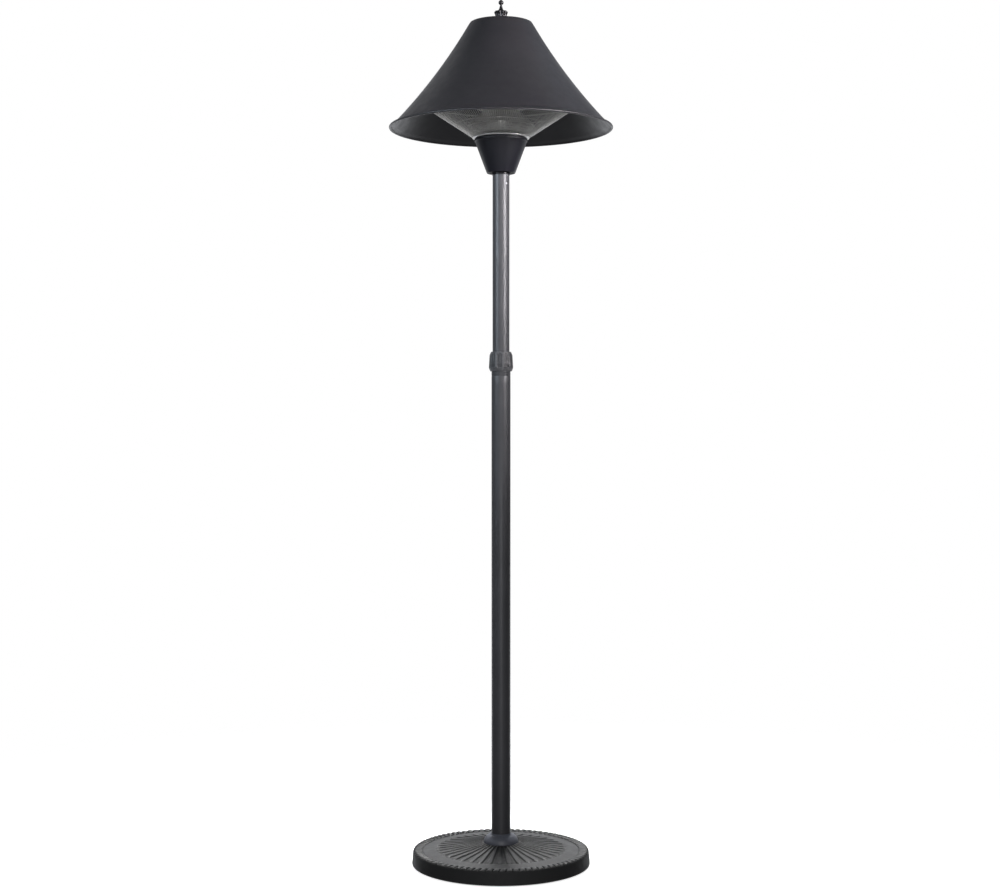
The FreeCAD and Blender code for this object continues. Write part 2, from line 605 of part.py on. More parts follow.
# polished skirt that stands on the cover
skirt_solid = turned("skirt", [
    (44.0, cover_top + 0.05), (d("skirt_low_radius"), cover_top + 0.05),
    (d("skirt_top_radius"), d("skirt_top_z")), (d("skirt_top_radius") - t, d("skirt_top_z")),
    (d("skirt_low_radius") - t, cover_top + t + 0.05), (44.0, cover_top + t + 0.05)])
node(skirt_solid, "lower_reflector")

# polished cone, apex up, with a rolled rim
bead = d("cone_bead")
cone_solid = turned("cone", [
    (d("cone_rim_radius") - bead, d("cone_rim_z"), bead, 1),
    (d("cone_rim_radius"), d("cone_rim_z") - bead, bead, 1),
    (d("cone_rim_radius") + bead, d("cone_rim_z"), bead, 1),
    (d("cone_rim_radius"), d("cone_rim_z") + bead),
    (d("cone_top_radius"), cone_cap),
    (d("stem_hole"), cone_cap),
    (d("stem_hole"), d("cone_top_z")),
    (d("cone_top_radius") - 0.4, d("cone_top_z"))])
cone_wires = wire_holes("cone", 1790.0, 1830.0, 2.2)
node(cut("cone_part", cone_solid, cone_wires), "reflector_cone")

node(turned("spacer", [
    (d("stem_hole"), nut_z[1] + d("nut_height") + 0.1), (d("spacer_radius"), nut_z[1] + d("nut_height") + 0.1),
    (d("spacer_radius"), d("dish_z") - 0.1), (d("stem_hole"), d("dish_z") - 0.1)]), "stem_spacer")

dish_solid = turned("dish", [
    (d("stem_hole"), d("dish_z")), (d("dish_flat_radius"), d("dish_z")),
    (d("dish_edge_radius") - 0.4, d("dish_edge_z")), (d("dish_lip_radius") - t, d("dish_lip_z")),
    (d("dish_lip_radius"), d("dish_lip_z")), (d("dish_edge_radius") + 0.4, d("dish_edge_z") + t),
    (d("dish_flat_radius"), dish_top), (d("stem_hole"), dish_top)])

# ---------------------------------------------------------------------- lamp
arc = d("lamp_arc").value
gap = 360.0 - arc
ring = d("lamp_ring_radius").value


def ring_sector(name, radius, trim=0.0):
    obj = doc.addObject("Part::Torus", name)
    obj.setExpression("Radius1", d("lamp_ring_radius").text)
    obj.setExpression("Radius2", size(radius).text)
    obj.Angle3 = arc - 2 * trim
    obj.Placement = FreeCAD.Placement(
        Vec(0, 0, d("lamp_z").value),
        FreeCAD.Rotation(Vec(0, 0, 1), 90.0 + gap / 2.0 + trim))
    obj.setExpression("Placement.Base.z", d("lamp_z").text)
    return obj


lamp_outer = ring_sector("lamp_outer", d("lamp_tube_radius"))
lamp_inner = ring_sector("lamp_inner", d("lamp_tube_bore"))
node(cut("lamp_glass", lamp_outer, [lamp_inner]), "lamp_tube")
node(ring_sector("filament", d("filament_radius"), 0.3), "lamp_filament")

# dish underside at a given radius
def dish_under(radius):
    f = (radius - d("dish_flat_radius").value) / (d("dish_edge_radius").value - 0.4 - d("dish_flat_radius").value)
    return d("dish_z").value + f * (d("dish_edge_z").value - d("dish_z").value)


CAP_GAP = 0.05
caps, cap_tops = [], []
for i, (deg, sign) in enumerate(((90.0 + gap / 2.0, -1.0), (90.0 - gap / 2.0, 1.0))):
    a = math.radians(deg)
    at = Vec(ring * math.cos(a), ring * math.sin(a), d("lamp_z").value)
    run = Vec(-math.sin(a) * sign, math.cos(a) * sign, 0)
    start = at + run * CAP_GAP
    barrel = cyl("cap_barrel_%d" % i, d("cap_radius"), d("cap_length"),
                 (start.x, start.y, start.z), (run.x, run.y, 0))
    mid = start + run * (d("cap_length").value / 2.0)
    top = dish_under(math.hypot(mid.x, mid.y)) - 1.0
    post = cyl("cap_post_%d" % i, 3.0, top - start.z, (mid.x, mid.y, start.z))
    caps.append(fuse("cap_%d" % i, [barrel, post]))
    cap_tops.append((mid.x, mid.y, top))
node(group("cap_pair", caps), "lamp_end_caps")

clips = []
for i, deg in enumerate((150.0, 210.0, 270.0, 330.0, 390.0)):
    a = math.radians(deg)
    at = Vec(ring * math.cos(a), ring * math.sin(a), d("lamp_z").value)
    run = Vec(-math.sin(a), math.cos(a), 0)
    start = at - run * (d("clip_width").value / 2.0)
    band = cyl("clip_band_%d" % i, d("clip_radius"), d("clip_width"),
               (start.x, start.y, start.z), (run.x, run.y, 0))
    leg_top = dish_under(ring) - 0.6
    leg = cyl("clip_leg_%d" % i, d("clip_leg_radius"), leg_top - at.z - 7.0, (at.x, at.y, at.z + 7.0))
    room = doc.addObject("Part::Torus", "clip_room_%d" % i)
    room.setExpression("Radius1", d("lamp_ring_radius").text)
    room.setExpression("Radius2", (d("lamp_tube_radius") + 0.1).text)
    room.Placement = FreeCAD.Placement(Vec(0, 0, d("lamp_z").value), FreeCAD.Rotation())
    clips.append(cut("clip_%d" % i, fuse("clip_solid_%d" % i, [band, leg]), [room]))
node(group("clip_set", clips), "lamp_clips")


def wire_path(points, radius, bend):
    """Round wire along straight runs joined by tangent arcs."""
    pts = [Vec(*p) for p in points]
    edges, at = [], pts[0]
    for i in range(1, len(pts) - 1):
        p, q, r = pts[i - 1], pts[i], pts[i + 1]
        u = (p - q).normalize()
        v = (r - q).normalize()
        half = u.getAngle(v) / 2.0
        back = bend / math.tan(half)
        a, c = q + u * back, q + v * back
        bis = (u + v).normalize()
        centre = q + bis * (bend / math.sin(half))
        m = centre - bis * bend
        edges.append(Part.LineSegment(at, a).toShape())
        edges.append(Part.Arc(a, m, c).toShape())
        at = c
    edges.append(Part.LineSegment(at, pts[-1]).toShape())
    path = Part.Wire(edges)
    start = (pts[1] - pts[0]).normalize()
    profile = Part.Wire([Part.Circle(pts[0], start, radius).toShape()])
    return path.makePipeShell([profile], True, False)


# two heat-proof wires: up through the dish, in to the stem, down to the terminals
r_wire = d("lead_wire_radius").value
wires = []
dish_holes = []
for i, sx in enumerate((1, -1)):
    # the cap on +X is the second one
    cap = cap_tops[1] if sx > 0 else cap_tops[0]
    over = dish_top.value + 14.0
    route = [(cap[0], cap[1], cap[2] + 0.1), (cap[0], cap[1], over),
             (sx * WIRE_X, WIRE_Y, over), (sx * WIRE_X, WIRE_Y, 1714.0),
             (sx * WIRE_X, -17.9, 1714.0)]
    wires.append(wire_path(route, r_wire, 5.0))
    dish_holes.append(cyl("dish_cap_hole_%d" % i, 2.4, 40.0, (cap[0], cap[1], 1812.0)))
leads = doc.addObject("Part::Feature", "lamp_leads_part")
leads.Shape = Part.makeCompound(wires)
node(leads, "lamp_leads")

node(cut("dish_part", dish_solid, dish_holes + wire_holes("dish", 1825.0, 1850.0, 2.4)),
     "reflector_dish")

# --------------------------------------------------------------------- guard
# welded wire guard: radial wires on four hoops, made as equal sectors of one ring
low_r, low_z = d("guard_low_radius").value, d("guard_low_z").value
top_r = d("guard_top_radius").value
slope = d("guard_slope").value
top_z = low_z + (top_r - low_r) / slope
run = Vec(top_r - low_r, 0, top_z - low_z).normalize()
inward = Vec(-run.z, 0, run.x)
wire_r = d("guard_wire_radius").value
sectors = int(d("guard_sectors").value)
per = int(d("guard_wires").value) // sectors
span = 360.0 / sectors


def hoop(radius, wire, sweep):
    z = low_z + (radius - low_r) / slope
    c = Vec(radius, 0, z) + inward * (wire_r + wire - 0.45)
    return Part.makeTorus(c.x, wire, Vec(0, 0, c.z), Vec(0, 0, 1), -180, 180, sweep)


# the wires end in the thick foot ring; the other hoops lie inside the wires
foot_ring = Part.makeTorus(low_r, d("guard_foot_radius").value, Vec(0, 0, low_z), Vec(0, 0, 1),
                           -180, 180, span)
pieces = [foot_ring,
          hoop(d("guard_hoop_one").value, d("guard_hoop_radius").value, span),
          hoop(d("guard_hoop_two").value, d("guard_hoop_radius").value, span),
          hoop(top_r, d("guard_ring_radius").value, span)]
length = Vec(top_r - low_r, 0, top_z - low_z).Length + 1.1
for i in range(per):
    wire = Part.makeCylinder(wire_r, length, Vec(low_r, 0, low_z) + run * 0.4, run)
    wire.rotate(Vec(0, 0, 0), Vec(0, 0, 1), span * (i + 0.5) / per)
    pieces.append(wire)
sector = pieces[0].multiFuse(pieces[1:])
solids = sector.Solids
if len(solids) != 1:
    raise RuntimeError("guard sector is %d solids" % len(solids))
copies = []
for i in range(sectors):
    c = solids[0].copy()
    c.rotate(Vec(0, 0, 0), Vec(0, 0, 1), span * i)
    copies.append(c)
guard = doc.addObject("Part::Feature", "guard_part")
guard.Shape = Part.makeCompound(copies)
node(guard, "guard")

# clips that hang the guard's top hoop from the dish's lip
g_clips = []
top_hoop = Vec(top_r, 0, top_z) + inward * (wire_r + d("guard_ring_radius").value - 0.45)
for i, (x, y, a) in enumerate(around(4, 1.0, 45.0)):
    low = top_hoop.z + d("guard_ring_radius").value + 0.15
    g_clips.append(cyl("guard_clip_%d" % i, 1.6, d("dish_lip_z") - low - 0.1,
                       (top_hoop.x * x, top_hoop.x * y, low)))
node(group("guard_clip_set", g_clips), "guard_clips")

# --------------------------------------------------------------------- shade
# spun shade: flat crown, hollow-curved wall, crease, flared brim, rolled edge
k = d("shade_gauge")
R = d("shade_curve")
s_bead = d("shade_bead")
node(turned("shade_solid", [
    (d("stem_hole"), d("shade_top_z") - k),
    (d("shade_top_radius"), d("shade_top_z") - k),
    (d("shade_corner_radius") - 0.68, d("shade_corner_z") - 0.42, R + k, 1),
    (d("shade_crease_radius") - 0.58, d("shade_crease_z") - 0.04),
    (d("shade_bead_radius") - s_bead + 0.1, d("shade_bead_z") + 0.75, s_bead, 1),
    (d("shade_bead_radius"), d("shade_bead_z") - s_bead, s_bead, 1),
    (d("shade_bead_radius") + s_bead, d("shade_bead_z"), s_bead, 1),
    (d("shade_bead_radius"), d("shade_bead_z") + s_bead),
    (d("shade_crease_radius"), d("shade_crease_z") + 0.5, R, -1),
    (d("shade_corner_radius"), d("shade_corner_z")),
    (d("shade_corner_radius") - 3.4, d("shade_top_z") - 0.7),
    (d("shade_top_radius"), d("shade_top_z")),
    (d("stem_hole"), d("shade_top_z")),
]), "shade")

node(turned("seat", [
    (d("stem_hole"), seat_low), (d("seat_radius"), seat_low),
    (d("seat_radius"), seat_low + d("seat_gauge")), (d("stem_hole"), seat_low + d("seat_gauge"))]),
    "shade_seat")

washer_low = d("shade_top_z") + 0.05
node(turned("washer", [
    (d("stem_hole"), washer_low), (d("top_washer_radius"), washer_low),
    (d("top_washer_radius"), washer_low + d("top_washer_gauge")),
    (d("stem_hole"), washer_low + d("top_washer_gauge"))]), "top_washer")

# -------------------------------------------------------------------- finial
ball = d("finial_ball_radius")
finial_solid = turned("finial_solid", [
    (d("finial_bore"), d("finial_low_z")),
    (d("finial_foot_radius"), d("finial_low_z")),
    (d("finial_waist_radius"), d("finial_waist_z")),
    (d("finial_crown_radius"), d("finial_crown_z")),
    (d("finial_crown_radius") - 0.8, d("finial_crown_top_z") - 0.6),
    (d("finial_crown_radius") - 2.6, d("finial_crown_top_z")),
    (d("finial_cone_radius") + 2.6, d("finial_crown_top_z") + 0.8),
    (d("finial_cone_radius"), d("finial_cone_z")),
    (d("finial_neck_radius"), d("finial_neck_z")),
    (d("finial_neck_radius"), d("finial_ball_z") - ball + 0.501, ball, 1),
    (ball, d("finial_ball_z"), ball, 1),
    (d("finial_tip_radius"), d("finial_ball_z") + ball - 0.217),
    (d("finial_tip_radius") - 0.5, d("finial_tip_z")),
    (0.0, d("finial_tip_z")),
    (0.0, d("finial_bore_top_z")),
    (d("finial_bore"), d("finial_bore_top_z"))])
flutes = [cyl("finial_flute_%d" % i, 2.6, 30.0, (x, y, d("finial_low_z") - 4.0))
          for i, (x, y, a) in enumerate(around(int(d("finial_flutes").value),
                                               d("finial_crown_radius").value + 1.2, 10.0))]
node(cut("finial_part", finial_solid, flutes), "finial")

# --------------------------------------------------- lead up the upper pole
lead = doc.addObject("Part::Feature", "lead_upper_part")
lead.Shape = wire_path([(0, 0, d("lead_low_z").value), (0, 0, d("lead_bend_z").value),
                        (0, d("terminal_y").value, d("lead_bend_z").value + 18.0),
                        (0, d("terminal_y").value, 1706.9)], d("lead_radius").value, 14.0)
node(lead, "lead_upper")

# -------------------------------------------------------------------- output
doc.recompute()
for obj in doc.Objects:
    if "Invalid" in obj.State or "Error" in obj.State:
        raise RuntimeError("failed object %s %s" % (obj.Name, obj.State))
for obj in NODES:
    shape = obj.Shape
    if shape.isNull() or not shape.isValid() or not shape.Solids:
        raise RuntimeError("bad shape %s" % obj.Label)

os.makedirs("parts", exist_ok=True)
for obj in NODES:
    obj.Shape.exportStep("parts/%s.step" % obj.Label)
    print("%-18s solids %3d  volume %12.1f mm3  z %8.1f .. %8.1f" % (
        obj.Label, len(obj.Shape.Solids), obj.Shape.Volume,
        obj.Shape.BoundBox.ZMin, obj.Shape.BoundBox.ZMax))
print("%d nodes" % len(NODES))
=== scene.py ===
import json
import math

import bmesh
import bpy
import numpy as np
from mathutils import Matrix, Vector


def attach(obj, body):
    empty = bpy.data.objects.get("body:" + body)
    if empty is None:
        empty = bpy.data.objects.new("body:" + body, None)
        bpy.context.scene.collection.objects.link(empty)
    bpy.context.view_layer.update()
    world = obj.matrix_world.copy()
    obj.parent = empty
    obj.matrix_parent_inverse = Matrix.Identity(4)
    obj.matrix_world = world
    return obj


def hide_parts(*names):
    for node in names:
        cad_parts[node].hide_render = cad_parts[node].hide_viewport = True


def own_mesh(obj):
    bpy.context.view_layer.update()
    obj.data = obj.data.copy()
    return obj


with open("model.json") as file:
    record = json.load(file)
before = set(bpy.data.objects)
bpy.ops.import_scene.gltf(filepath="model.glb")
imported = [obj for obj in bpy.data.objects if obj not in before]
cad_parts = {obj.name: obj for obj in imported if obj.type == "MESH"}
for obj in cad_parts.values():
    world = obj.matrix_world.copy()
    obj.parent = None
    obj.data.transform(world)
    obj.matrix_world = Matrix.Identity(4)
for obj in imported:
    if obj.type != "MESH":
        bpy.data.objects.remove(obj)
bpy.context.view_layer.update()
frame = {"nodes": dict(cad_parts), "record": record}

MM = 0.001
TAU = 2.0 * math.pi
scene = bpy.context.scene
nodes = frame["nodes"]


# ------------------------------------------------------------------ mesh tools
def add_mesh(name, verts, faces, sharp=32.0, fix=True):
    """A mesh object from vertices in millimetres."""
    me = bpy.data.meshes.new(name)
    me.from_pydata([tuple(c * MM for c in v) for v in verts], [], faces)
    if fix:
        bm = bmesh.new()
        bm.from_mesh(me)
        bmesh.ops.recalc_face_normals(bm, faces=bm.faces)
        bm.to_mesh(me)
        bm.free()
    finish_mesh(me, sharp)
    ob = bpy.data.objects.new(name, me)
    scene.collection.objects.link(ob)
    return ob


def finish_mesh(me, sharp=32.0):
    me.validate()
    me.polygons.foreach_set("use_smooth", [True] * len(me.polygons))
    me.set_sharp_from_angle(angle=math.radians(sharp))
    me.update()


def rounded(points, steps=5):
    """Closed outline (r, z[, fillet]) with its corners filleted by arcs."""
    out = []
    n = len(points)
    for i in range(n):
        p = np.array(points[i][:2], float)
        f = points[i][2] if len(points[i]) > 2 else 0.0
        if f <= 0.0:
            out.append((p[0], p[1]))
            continue
        a = np.array(points[i - 1][:2], float) - p
        b = np.array(points[(i + 1) % n][:2], float) - p
        la, lb = np.linalg.norm(a), np.linalg.norm(b)
        a, b = a / la, b / lb
        half = math.acos(max(-1.0, min(1.0, float(a @ b)))) / 2.0
        if half > math.radians(89.0):
            out.append((p[0], p[1]))
            continue
        back = min(f / math.tan(half), 0.49 * la, 0.49 * lb)
        f = back * math.tan(half)
        mid = (a + b) / np.linalg.norm(a + b)
        c = p + mid * (f / math.sin(half))
        s, e = p + a * back, p + b * back
        a0 = math.atan2(s[1] - c[1], s[0] - c[0])
        a1 = math.atan2(e[1] - c[1], e[0] - c[0])
        turn = (a1 - a0 + math.pi) % TAU - math.pi
        for k in range(steps + 1):
            t = a0 + turn * k / steps
            out.append((c[0] + f * math.cos(t), c[1] + f * math.sin(t)))
    return out


def arc_points(p, q, radius, side, steps):
    """Points from p to q (both kept) on an arc; side 1 has its centre left of the run."""
    p, q = np.array(p, float), np.array(q, float)
    d = q - p
    l = np.linalg.norm(d)
    left = np.array([-d[1], d[0]]) / l
    c = (p + q) / 2 + left * side * math.sqrt(max(radius * radius - l * l / 4, 0.0))
    a0 = math.atan2(*(p - c)[::-1])
    a1 = math.atan2(*(q - c)[::-1])
    turn = (a1 - a0 + math.pi) % TAU - math.pi
    return [(c[0] + radius * math.cos(a0 + turn * k / steps),
             c[1] + radius * math.sin(a0 + turn * k / steps)) for k in range(steps + 1)]


def turned_grid(outline, n, shape=None):
    """Vertices and faces of an outline (r, z) turned about Z. shape moves a point (r, z, angle, i)."""
    verts, faces = [], []
    m = len(outline)
    for i, (r, z) in enumerate(outline):
        for j in range(n):
            a = TAU * j / n
            rr, zz = shape(r, z, a, i) if shape else (r, z)
            verts.append((rr * math.sin(a), -rr * math.cos(a), zz))
    for i in range(m):
        k = (i + 1) % m
        for j in range(n):
            l = (j + 1) % n
            faces.append((i * n + j, i * n + l, k * n + l, k * n + j))
    return verts, faces


def lathe(name, outline, n=192, sharp=32.0, shape=None):
    v, f = turned_grid(outline, n, shape)
    return add_mesh(name, v, f, sharp)


def solid_lathe(name, outline, n=64, sharp=32.0, axis=None, at=None, shape=None):
    """An open outline whose two ends lie on the axis, turned to a closed solid."""
    verts, faces = [], []
    rows = []
    for i, (r, z) in enumerate(outline):
        if r < 1e-6:
            rows.append([len(verts)])
            verts.append((0.0, 0.0, z))
            continue
        row = []
        for j in range(n):
            a = TAU * j / n
            rr, zz = shape(r, z, a, i) if shape else (r, z)
            row.append(len(verts))
            verts.append((rr * math.sin(a), -rr * math.cos(a), zz))
        rows.append(row)
    for a, b in zip(rows, rows[1:]):
        for j in range(n):
            l = (j + 1) % n
            if len(a) == 1:
                faces.append((a[0], b[l], b[j]))
            elif len(b) == 1:
                faces.append((a[j], a[l], b[0]))
            else:
                faces.append((a[j], a[l], b[l], b[j]))
    if axis is not None:
        q = Vector((0, 0, 1)).rotation_difference(Vector(axis).normalized())
        verts = [tuple(q @ Vector(v) + Vector(at)) for v in verts]
    return add_mesh(name, verts, faces, sharp)


def sweep(points, radius, sides, closed=False):
    """Vertices and faces of a round tube along points."""
    p = np.array(points, float)
    n = len(p)
    if closed:
        tan = np.roll(p, -1, 0) - np.roll(p, 1, 0)
    else:
        tan = np.gradient(p, axis=0)
    tan /= np.linalg.norm(tan, axis=1)[:, None]
    ref = np.array([0.0, 0.0, 1.0]) if abs(tan[0][2]) < 0.9 else np.array([1.0, 0.0, 0.0])
    u = ref - tan[0] * (ref @ tan[0])
    u /= np.linalg.norm(u)
    verts = []
    for i in range(n):
        u = u - tan[i] * (u @ tan[i])
        u /= np.linalg.norm(u)
        w = np.cross(tan[i], u)
        for k in range(sides):
            a = TAU * k / sides
            verts.append(tuple(p[i] + radius * (math.cos(a) * u + math.sin(a) * w)))
    faces = []
    for i in range(n if closed else n - 1):
        j = (i + 1) % n
        for k in range(sides):
            l = (k + 1) % sides
            faces.append((i * sides + k, i * sides + l, j * sides + l, j * sides + k))
    if not closed:
        faces.append(tuple(range(sides))[::-1])
        faces.append(tuple((n - 1) * sides + k for k in range(sides)))
    return verts, faces


def join_parts(parts):
    verts, faces = [], []
    for v, f in parts:
        o = len(verts)
        verts.extend(v)
        faces.extend(tuple(i + o for i in q) for q in f)
    return verts, faces


def rounded_box(lo, hi, r, seg=3):
    """Verts and faces of a box with rounded edges."""
    bm = bmesh.new()
    bmesh.ops.create_cube(bm, size=1.0)
    for v in bm.verts:
        for k in range(3):
            v.co[k] = lo[k] if v.co[k] < 0 else hi[k]
    if r > 0:
        bmesh.ops.bevel(bm, geom=list(bm.edges), offset=r, segments=seg, profile=0.5, affect="EDGES")
    bm.verts.index_update()
    v = [tuple(x.co) for x in bm.verts]
    f = [tuple(x.index for x in q.verts) for q in bm.faces]
    bm.free()
    return v, f


def bake(ob, sharp=32.0):
    """Applies the object's modifiers to its mesh."""
    bpy.context.view_layer.update()
    dg = bpy.context.evaluated_depsgraph_get()
    me = bpy.data.meshes.new_from_object(ob.evaluated_get(dg))
    ob.modifiers.clear()
    old = ob.data
    ob.data = me
    bpy.data.meshes.remove(old)
    finish_mesh(me, sharp)
    return ob


def boolean(ob, other, how, sharp=32.0):
    m = ob.modifiers.new("cut", "BOOLEAN")
    m.operation = how
    m.solver = "EXACT"
    m.object = other
    bake(ob, sharp)
    bpy.data.objects.remove(other)
    return ob


def smooth01(x, lo, hi):
    t = max(0.0, min(1.0, (x - lo) / (hi - lo)))
    return t * t * (3.0 - 2.0 * t)


# -------------------------------------------------------------- material tools
class Paint:
    """A principled material with procedural detail in object space (metres)."""

    def __init__(self, name, color, rough, metal=0.0, **sockets):
        self.mat = bpy.data.materials.new(name)
        self.mat.use_nodes = True
        self.nt = self.mat.node_tree
        self.bsdf = self.nt.nodes["Principled BSDF"]
        self.mat.diffuse_color = (*color[:3], 1.0)
        self.set("Base Color", (*color[:3], 1.0))
        self.set("Roughness", rough)
        self.set("Metallic", metal)
        for k, v in sockets.items():
            self.set(k.replace("_", " "), v)
        self.coord = self.nt.nodes.new("ShaderNodeTexCoord").outputs["Object"]
        self.normal = None

    def set(self, socket, value):
        self.bsdf.inputs[socket].default_value = value

    def link(self, a, b):
        self.nt.links.new(a, b)

    def node(self, kind, **props):
        n = self.nt.nodes.new(kind)
        for k, v in props.items():
            setattr(n, k, v)
        return n

    def math(self, op, a, b=None, clamp=False):
        n = self.node("ShaderNodeMath", operation=op, use_clamp=clamp)
        for k, x in enumerate((a, b)):
            if x is None:
                continue
            if isinstance(x, (int, float)):
                n.inputs[k].default_value = x
            else:
                self.link(x, n.inputs[k])
        return n.outputs[0]

    def stretch(self, sx, sy, sz):
        n = self.node("ShaderNodeMapping")
        n.inputs["Scale"].default_value = (sx, sy, sz)
        self.link(self.coord, n.inputs["Vector"])
        return n.outputs["Vector"]

    def polar(self, kr=1.0, ka=1.0, kz=1.0):
        """Vector (radius * kr, turn * ka, z * kz) about the Z axis; turn is in metres at 1 m."""
        sep = self.node("ShaderNodeSeparateXYZ")
        self.link(self.coord, sep.inputs[0])
        x, y, z = sep.outputs
        r = self.math("SQRT", self.math("ADD", self.math("MULTIPLY", x, x), self.math("MULTIPLY", y, y)))
        a = self.math("ARCTAN2", x, y)
        com = self.node("ShaderNodeCombineXYZ")
        self.link(self.math("MULTIPLY", r, kr), com.inputs[0])
        self.link(self.math("MULTIPLY", a, ka), com.inputs[1])
        self.link(self.math("MULTIPLY", z, kz), com.inputs[2])
        return com.outputs[0]

    def noise(self, scale, detail=3.0, rough=0.5, vec=None):
        n = self.node("ShaderNodeTexNoise")
        n.inputs["Scale"].default_value = scale
        n.inputs["Detail"].default_value = detail
        n.inputs["Roughness"].default_value = rough
        self.link(vec if vec is not None else self.coord, n.inputs["Vector"])
        return n.outputs["Fac"]

    def cells(self, scale, vec=None):
        n = self.node("ShaderNodeTexVoronoi")
        n.inputs["Scale"].default_value = scale
        self.link(vec if vec is not None else self.coord, n.inputs["Vector"])
        return n

    def span(self, fac, lo, hi, a=0.0, b=1.0):
        n = self.node("ShaderNodeMapRange", interpolation_type="SMOOTHSTEP")
        self.link(fac, n.inputs["Value"])
        for k, v in zip(("From Min", "From Max", "To Min", "To Max"), (lo, hi, a, b)):
            n.inputs[k].default_value = v
        return n.outputs["Result"]

    def attr(self, name):
        return self.node("ShaderNodeAttribute", attribute_name=name).outputs["Fac"]

    def mix(self, fac, a, b):
        n = self.node("ShaderNodeMix", data_type="RGBA")
        self.link(fac, n.inputs["Factor"])
        for s, x in (("A", a), ("B", b)):
            sock = [i for i in n.inputs if i.name == s and i.type == "RGBA"][0]
            if isinstance(x, tuple):
                sock.default_value = (*x[:3], 1.0)
            else:
                self.link(x, sock)
        return [o for o in n.outputs if o.type == "RGBA"][0]

    def color(self, out):
        self.link(out, self.bsdf.inputs["Base Color"])
        return self

    def rough(self, out):
        self.link(out, self.bsdf.inputs["Roughness"])
        return self

    def bump(self, height, distance, strength=1.0):
        n = self.node("ShaderNodeBump")
        n.inputs["Strength"].default_value = strength
        n.inputs["Distance"].default_value = distance
        self.link(height, n.inputs["Height"])
        if self.normal is not None:
            self.link(self.normal, n.inputs["Normal"])
        self.normal = n.outputs["Normal"]
        self.link(self.normal, self.bsdf.inputs["Normal"])
        return self


def powder_coat(name, dark, light, r_lo, r_hi, peel, depth, metal=0.0, **sockets):
    """Satin powder coat: orange peel, fine grit and slow tone drift."""
    p = Paint(name, light, r_hi, metal, **sockets)
    slow = p.noise(9.0, 4.0, 0.55)
    grit = p.noise(peel * 3.2, 2.0, 0.6)
    tone = p.math("ADD", p.math("MULTIPLY", p.span(slow, 0.3, 0.7), 0.7), p.math("MULTIPLY", grit, 0.3))
    p.color(p.mix(tone, dark, light))
    p.rough(p.span(p.noise(38.0, 5.0, 0.6), 0.3, 0.7, r_lo, r_hi))
    p.bump(p.noise(peel, 2.0, 0.45), depth)
    p.bump(grit, depth * 0.22)
    return p


M = {}
M["shade_coat"] = powder_coat("shade_powder_coat", (0.0112, 0.0106, 0.0124), (0.0146, 0.0139, 0.0160),
                              0.46, 0.54, 620.0, 0.00005, Specular_IOR_Level=0.40)
sc = M["shade_coat"]
# painted shade: the sheen fades towards the crown, so the top reads darker
sc.link(sc.span(sc.attr("crown_painted_shade"), 0.0, 1.0, 0.40, 0.24), sc.bsdf.inputs["Specular IOR Level"])
M["pole_coat"] = powder_coat("pole_gunmetal_coat", (0.042, 0.042, 0.046), (0.056, 0.056, 0.061),
                             0.40, 0.48, 900.0, 0.00003, metal=0.25)


def base_moulding():
    p = Paint("base_satin_moulding", (0.03, 0.03, 0.032), 0.5)
    crest = p.attr("crest")
    slow = p.noise(14.0, 4.0, 0.55)
    grain = p.noise(1500.0, 2.0, 0.6)
    tone = p.math("ADD", p.math("MULTIPLY", p.span(slow, 0.3, 0.7), 0.55), p.math("MULTIPLY", grain, 0.45))
    body = p.mix(tone, (0.0255, 0.0256, 0.0256), (0.0345, 0.0346, 0.0346))
    rub = p.math("MULTIPLY", crest, p.span(p.noise(60.0, 5.0, 0.65), 0.42, 0.72))
    # painted shade: the masked places (rope furrows, the rope's outer slope, rib valleys and flanks, the top of the
    # side wall) get a near-black colour, more roughness and less sheen
    base_painted_shade = p.attr("base_painted_shade")
    worn = p.mix(p.math("MULTIPLY", rub, 0.15), body, (0.048, 0.048, 0.050))
    worn = p.mix(p.attr("bell"), worn, (0.082, 0.087, 0.106))
    p.color(p.mix(base_painted_shade, worn, (0.006, 0.006, 0.0062)))
    p.rough(p.math("ADD", p.span(p.noise(45.0, 4.0, 0.6), 0.3, 0.7, 0.43, 0.53), p.math("MULTIPLY", base_painted_shade, 0.30)))
    p.link(p.span(base_painted_shade, 0.0, 1.0, 0.5, 0.08), p.bsdf.inputs["Specular IOR Level"])
    p.bump(grain, 0.000035)
    p.bump(p.noise(240.0, 3.0, 0.5), 0.00006)
    return p


M["base_moulding"] = base_moulding()


def collar_moulding():
    p = Paint("collar_moulded_plastic", (0.06, 0.06, 0.063), 0.55)
    grain = p.noise(2600.0, 2.0, 0.6)
    crest = p.attr("crest")
    body = p.mix(p.span(p.noise(55.0, 4.0, 0.6), 0.3, 0.7), (0.050, 0.050, 0.053), (0.062, 0.062, 0.066))
    rub = p.math("MULTIPLY", crest, p.span(p.noise(190.0, 4.0, 0.6), 0.4, 0.7))
    worn = p.mix(p.math("MULTIPLY", rub, 0.5), body, (0.10, 0.10, 0.104))
    # painted shade: the flute hollows are coloured darker and given less sheen
    p.color(p.mix(p.span(crest, 0.0, 0.8, 0.34, 0.0), worn, (0.012, 0.012, 0.0135)))
    p.link(p.span(crest, 0.0, 0.8, 0.38, 0.5), p.bsdf.inputs["Specular IOR Level"])
    p.rough(p.span(p.noise(120.0, 4.0, 0.6), 0.3, 0.7, 0.46, 0.60))
    p.bump(grain, 0.00004)
    return p


M["collar_moulding"] = collar_moulding()


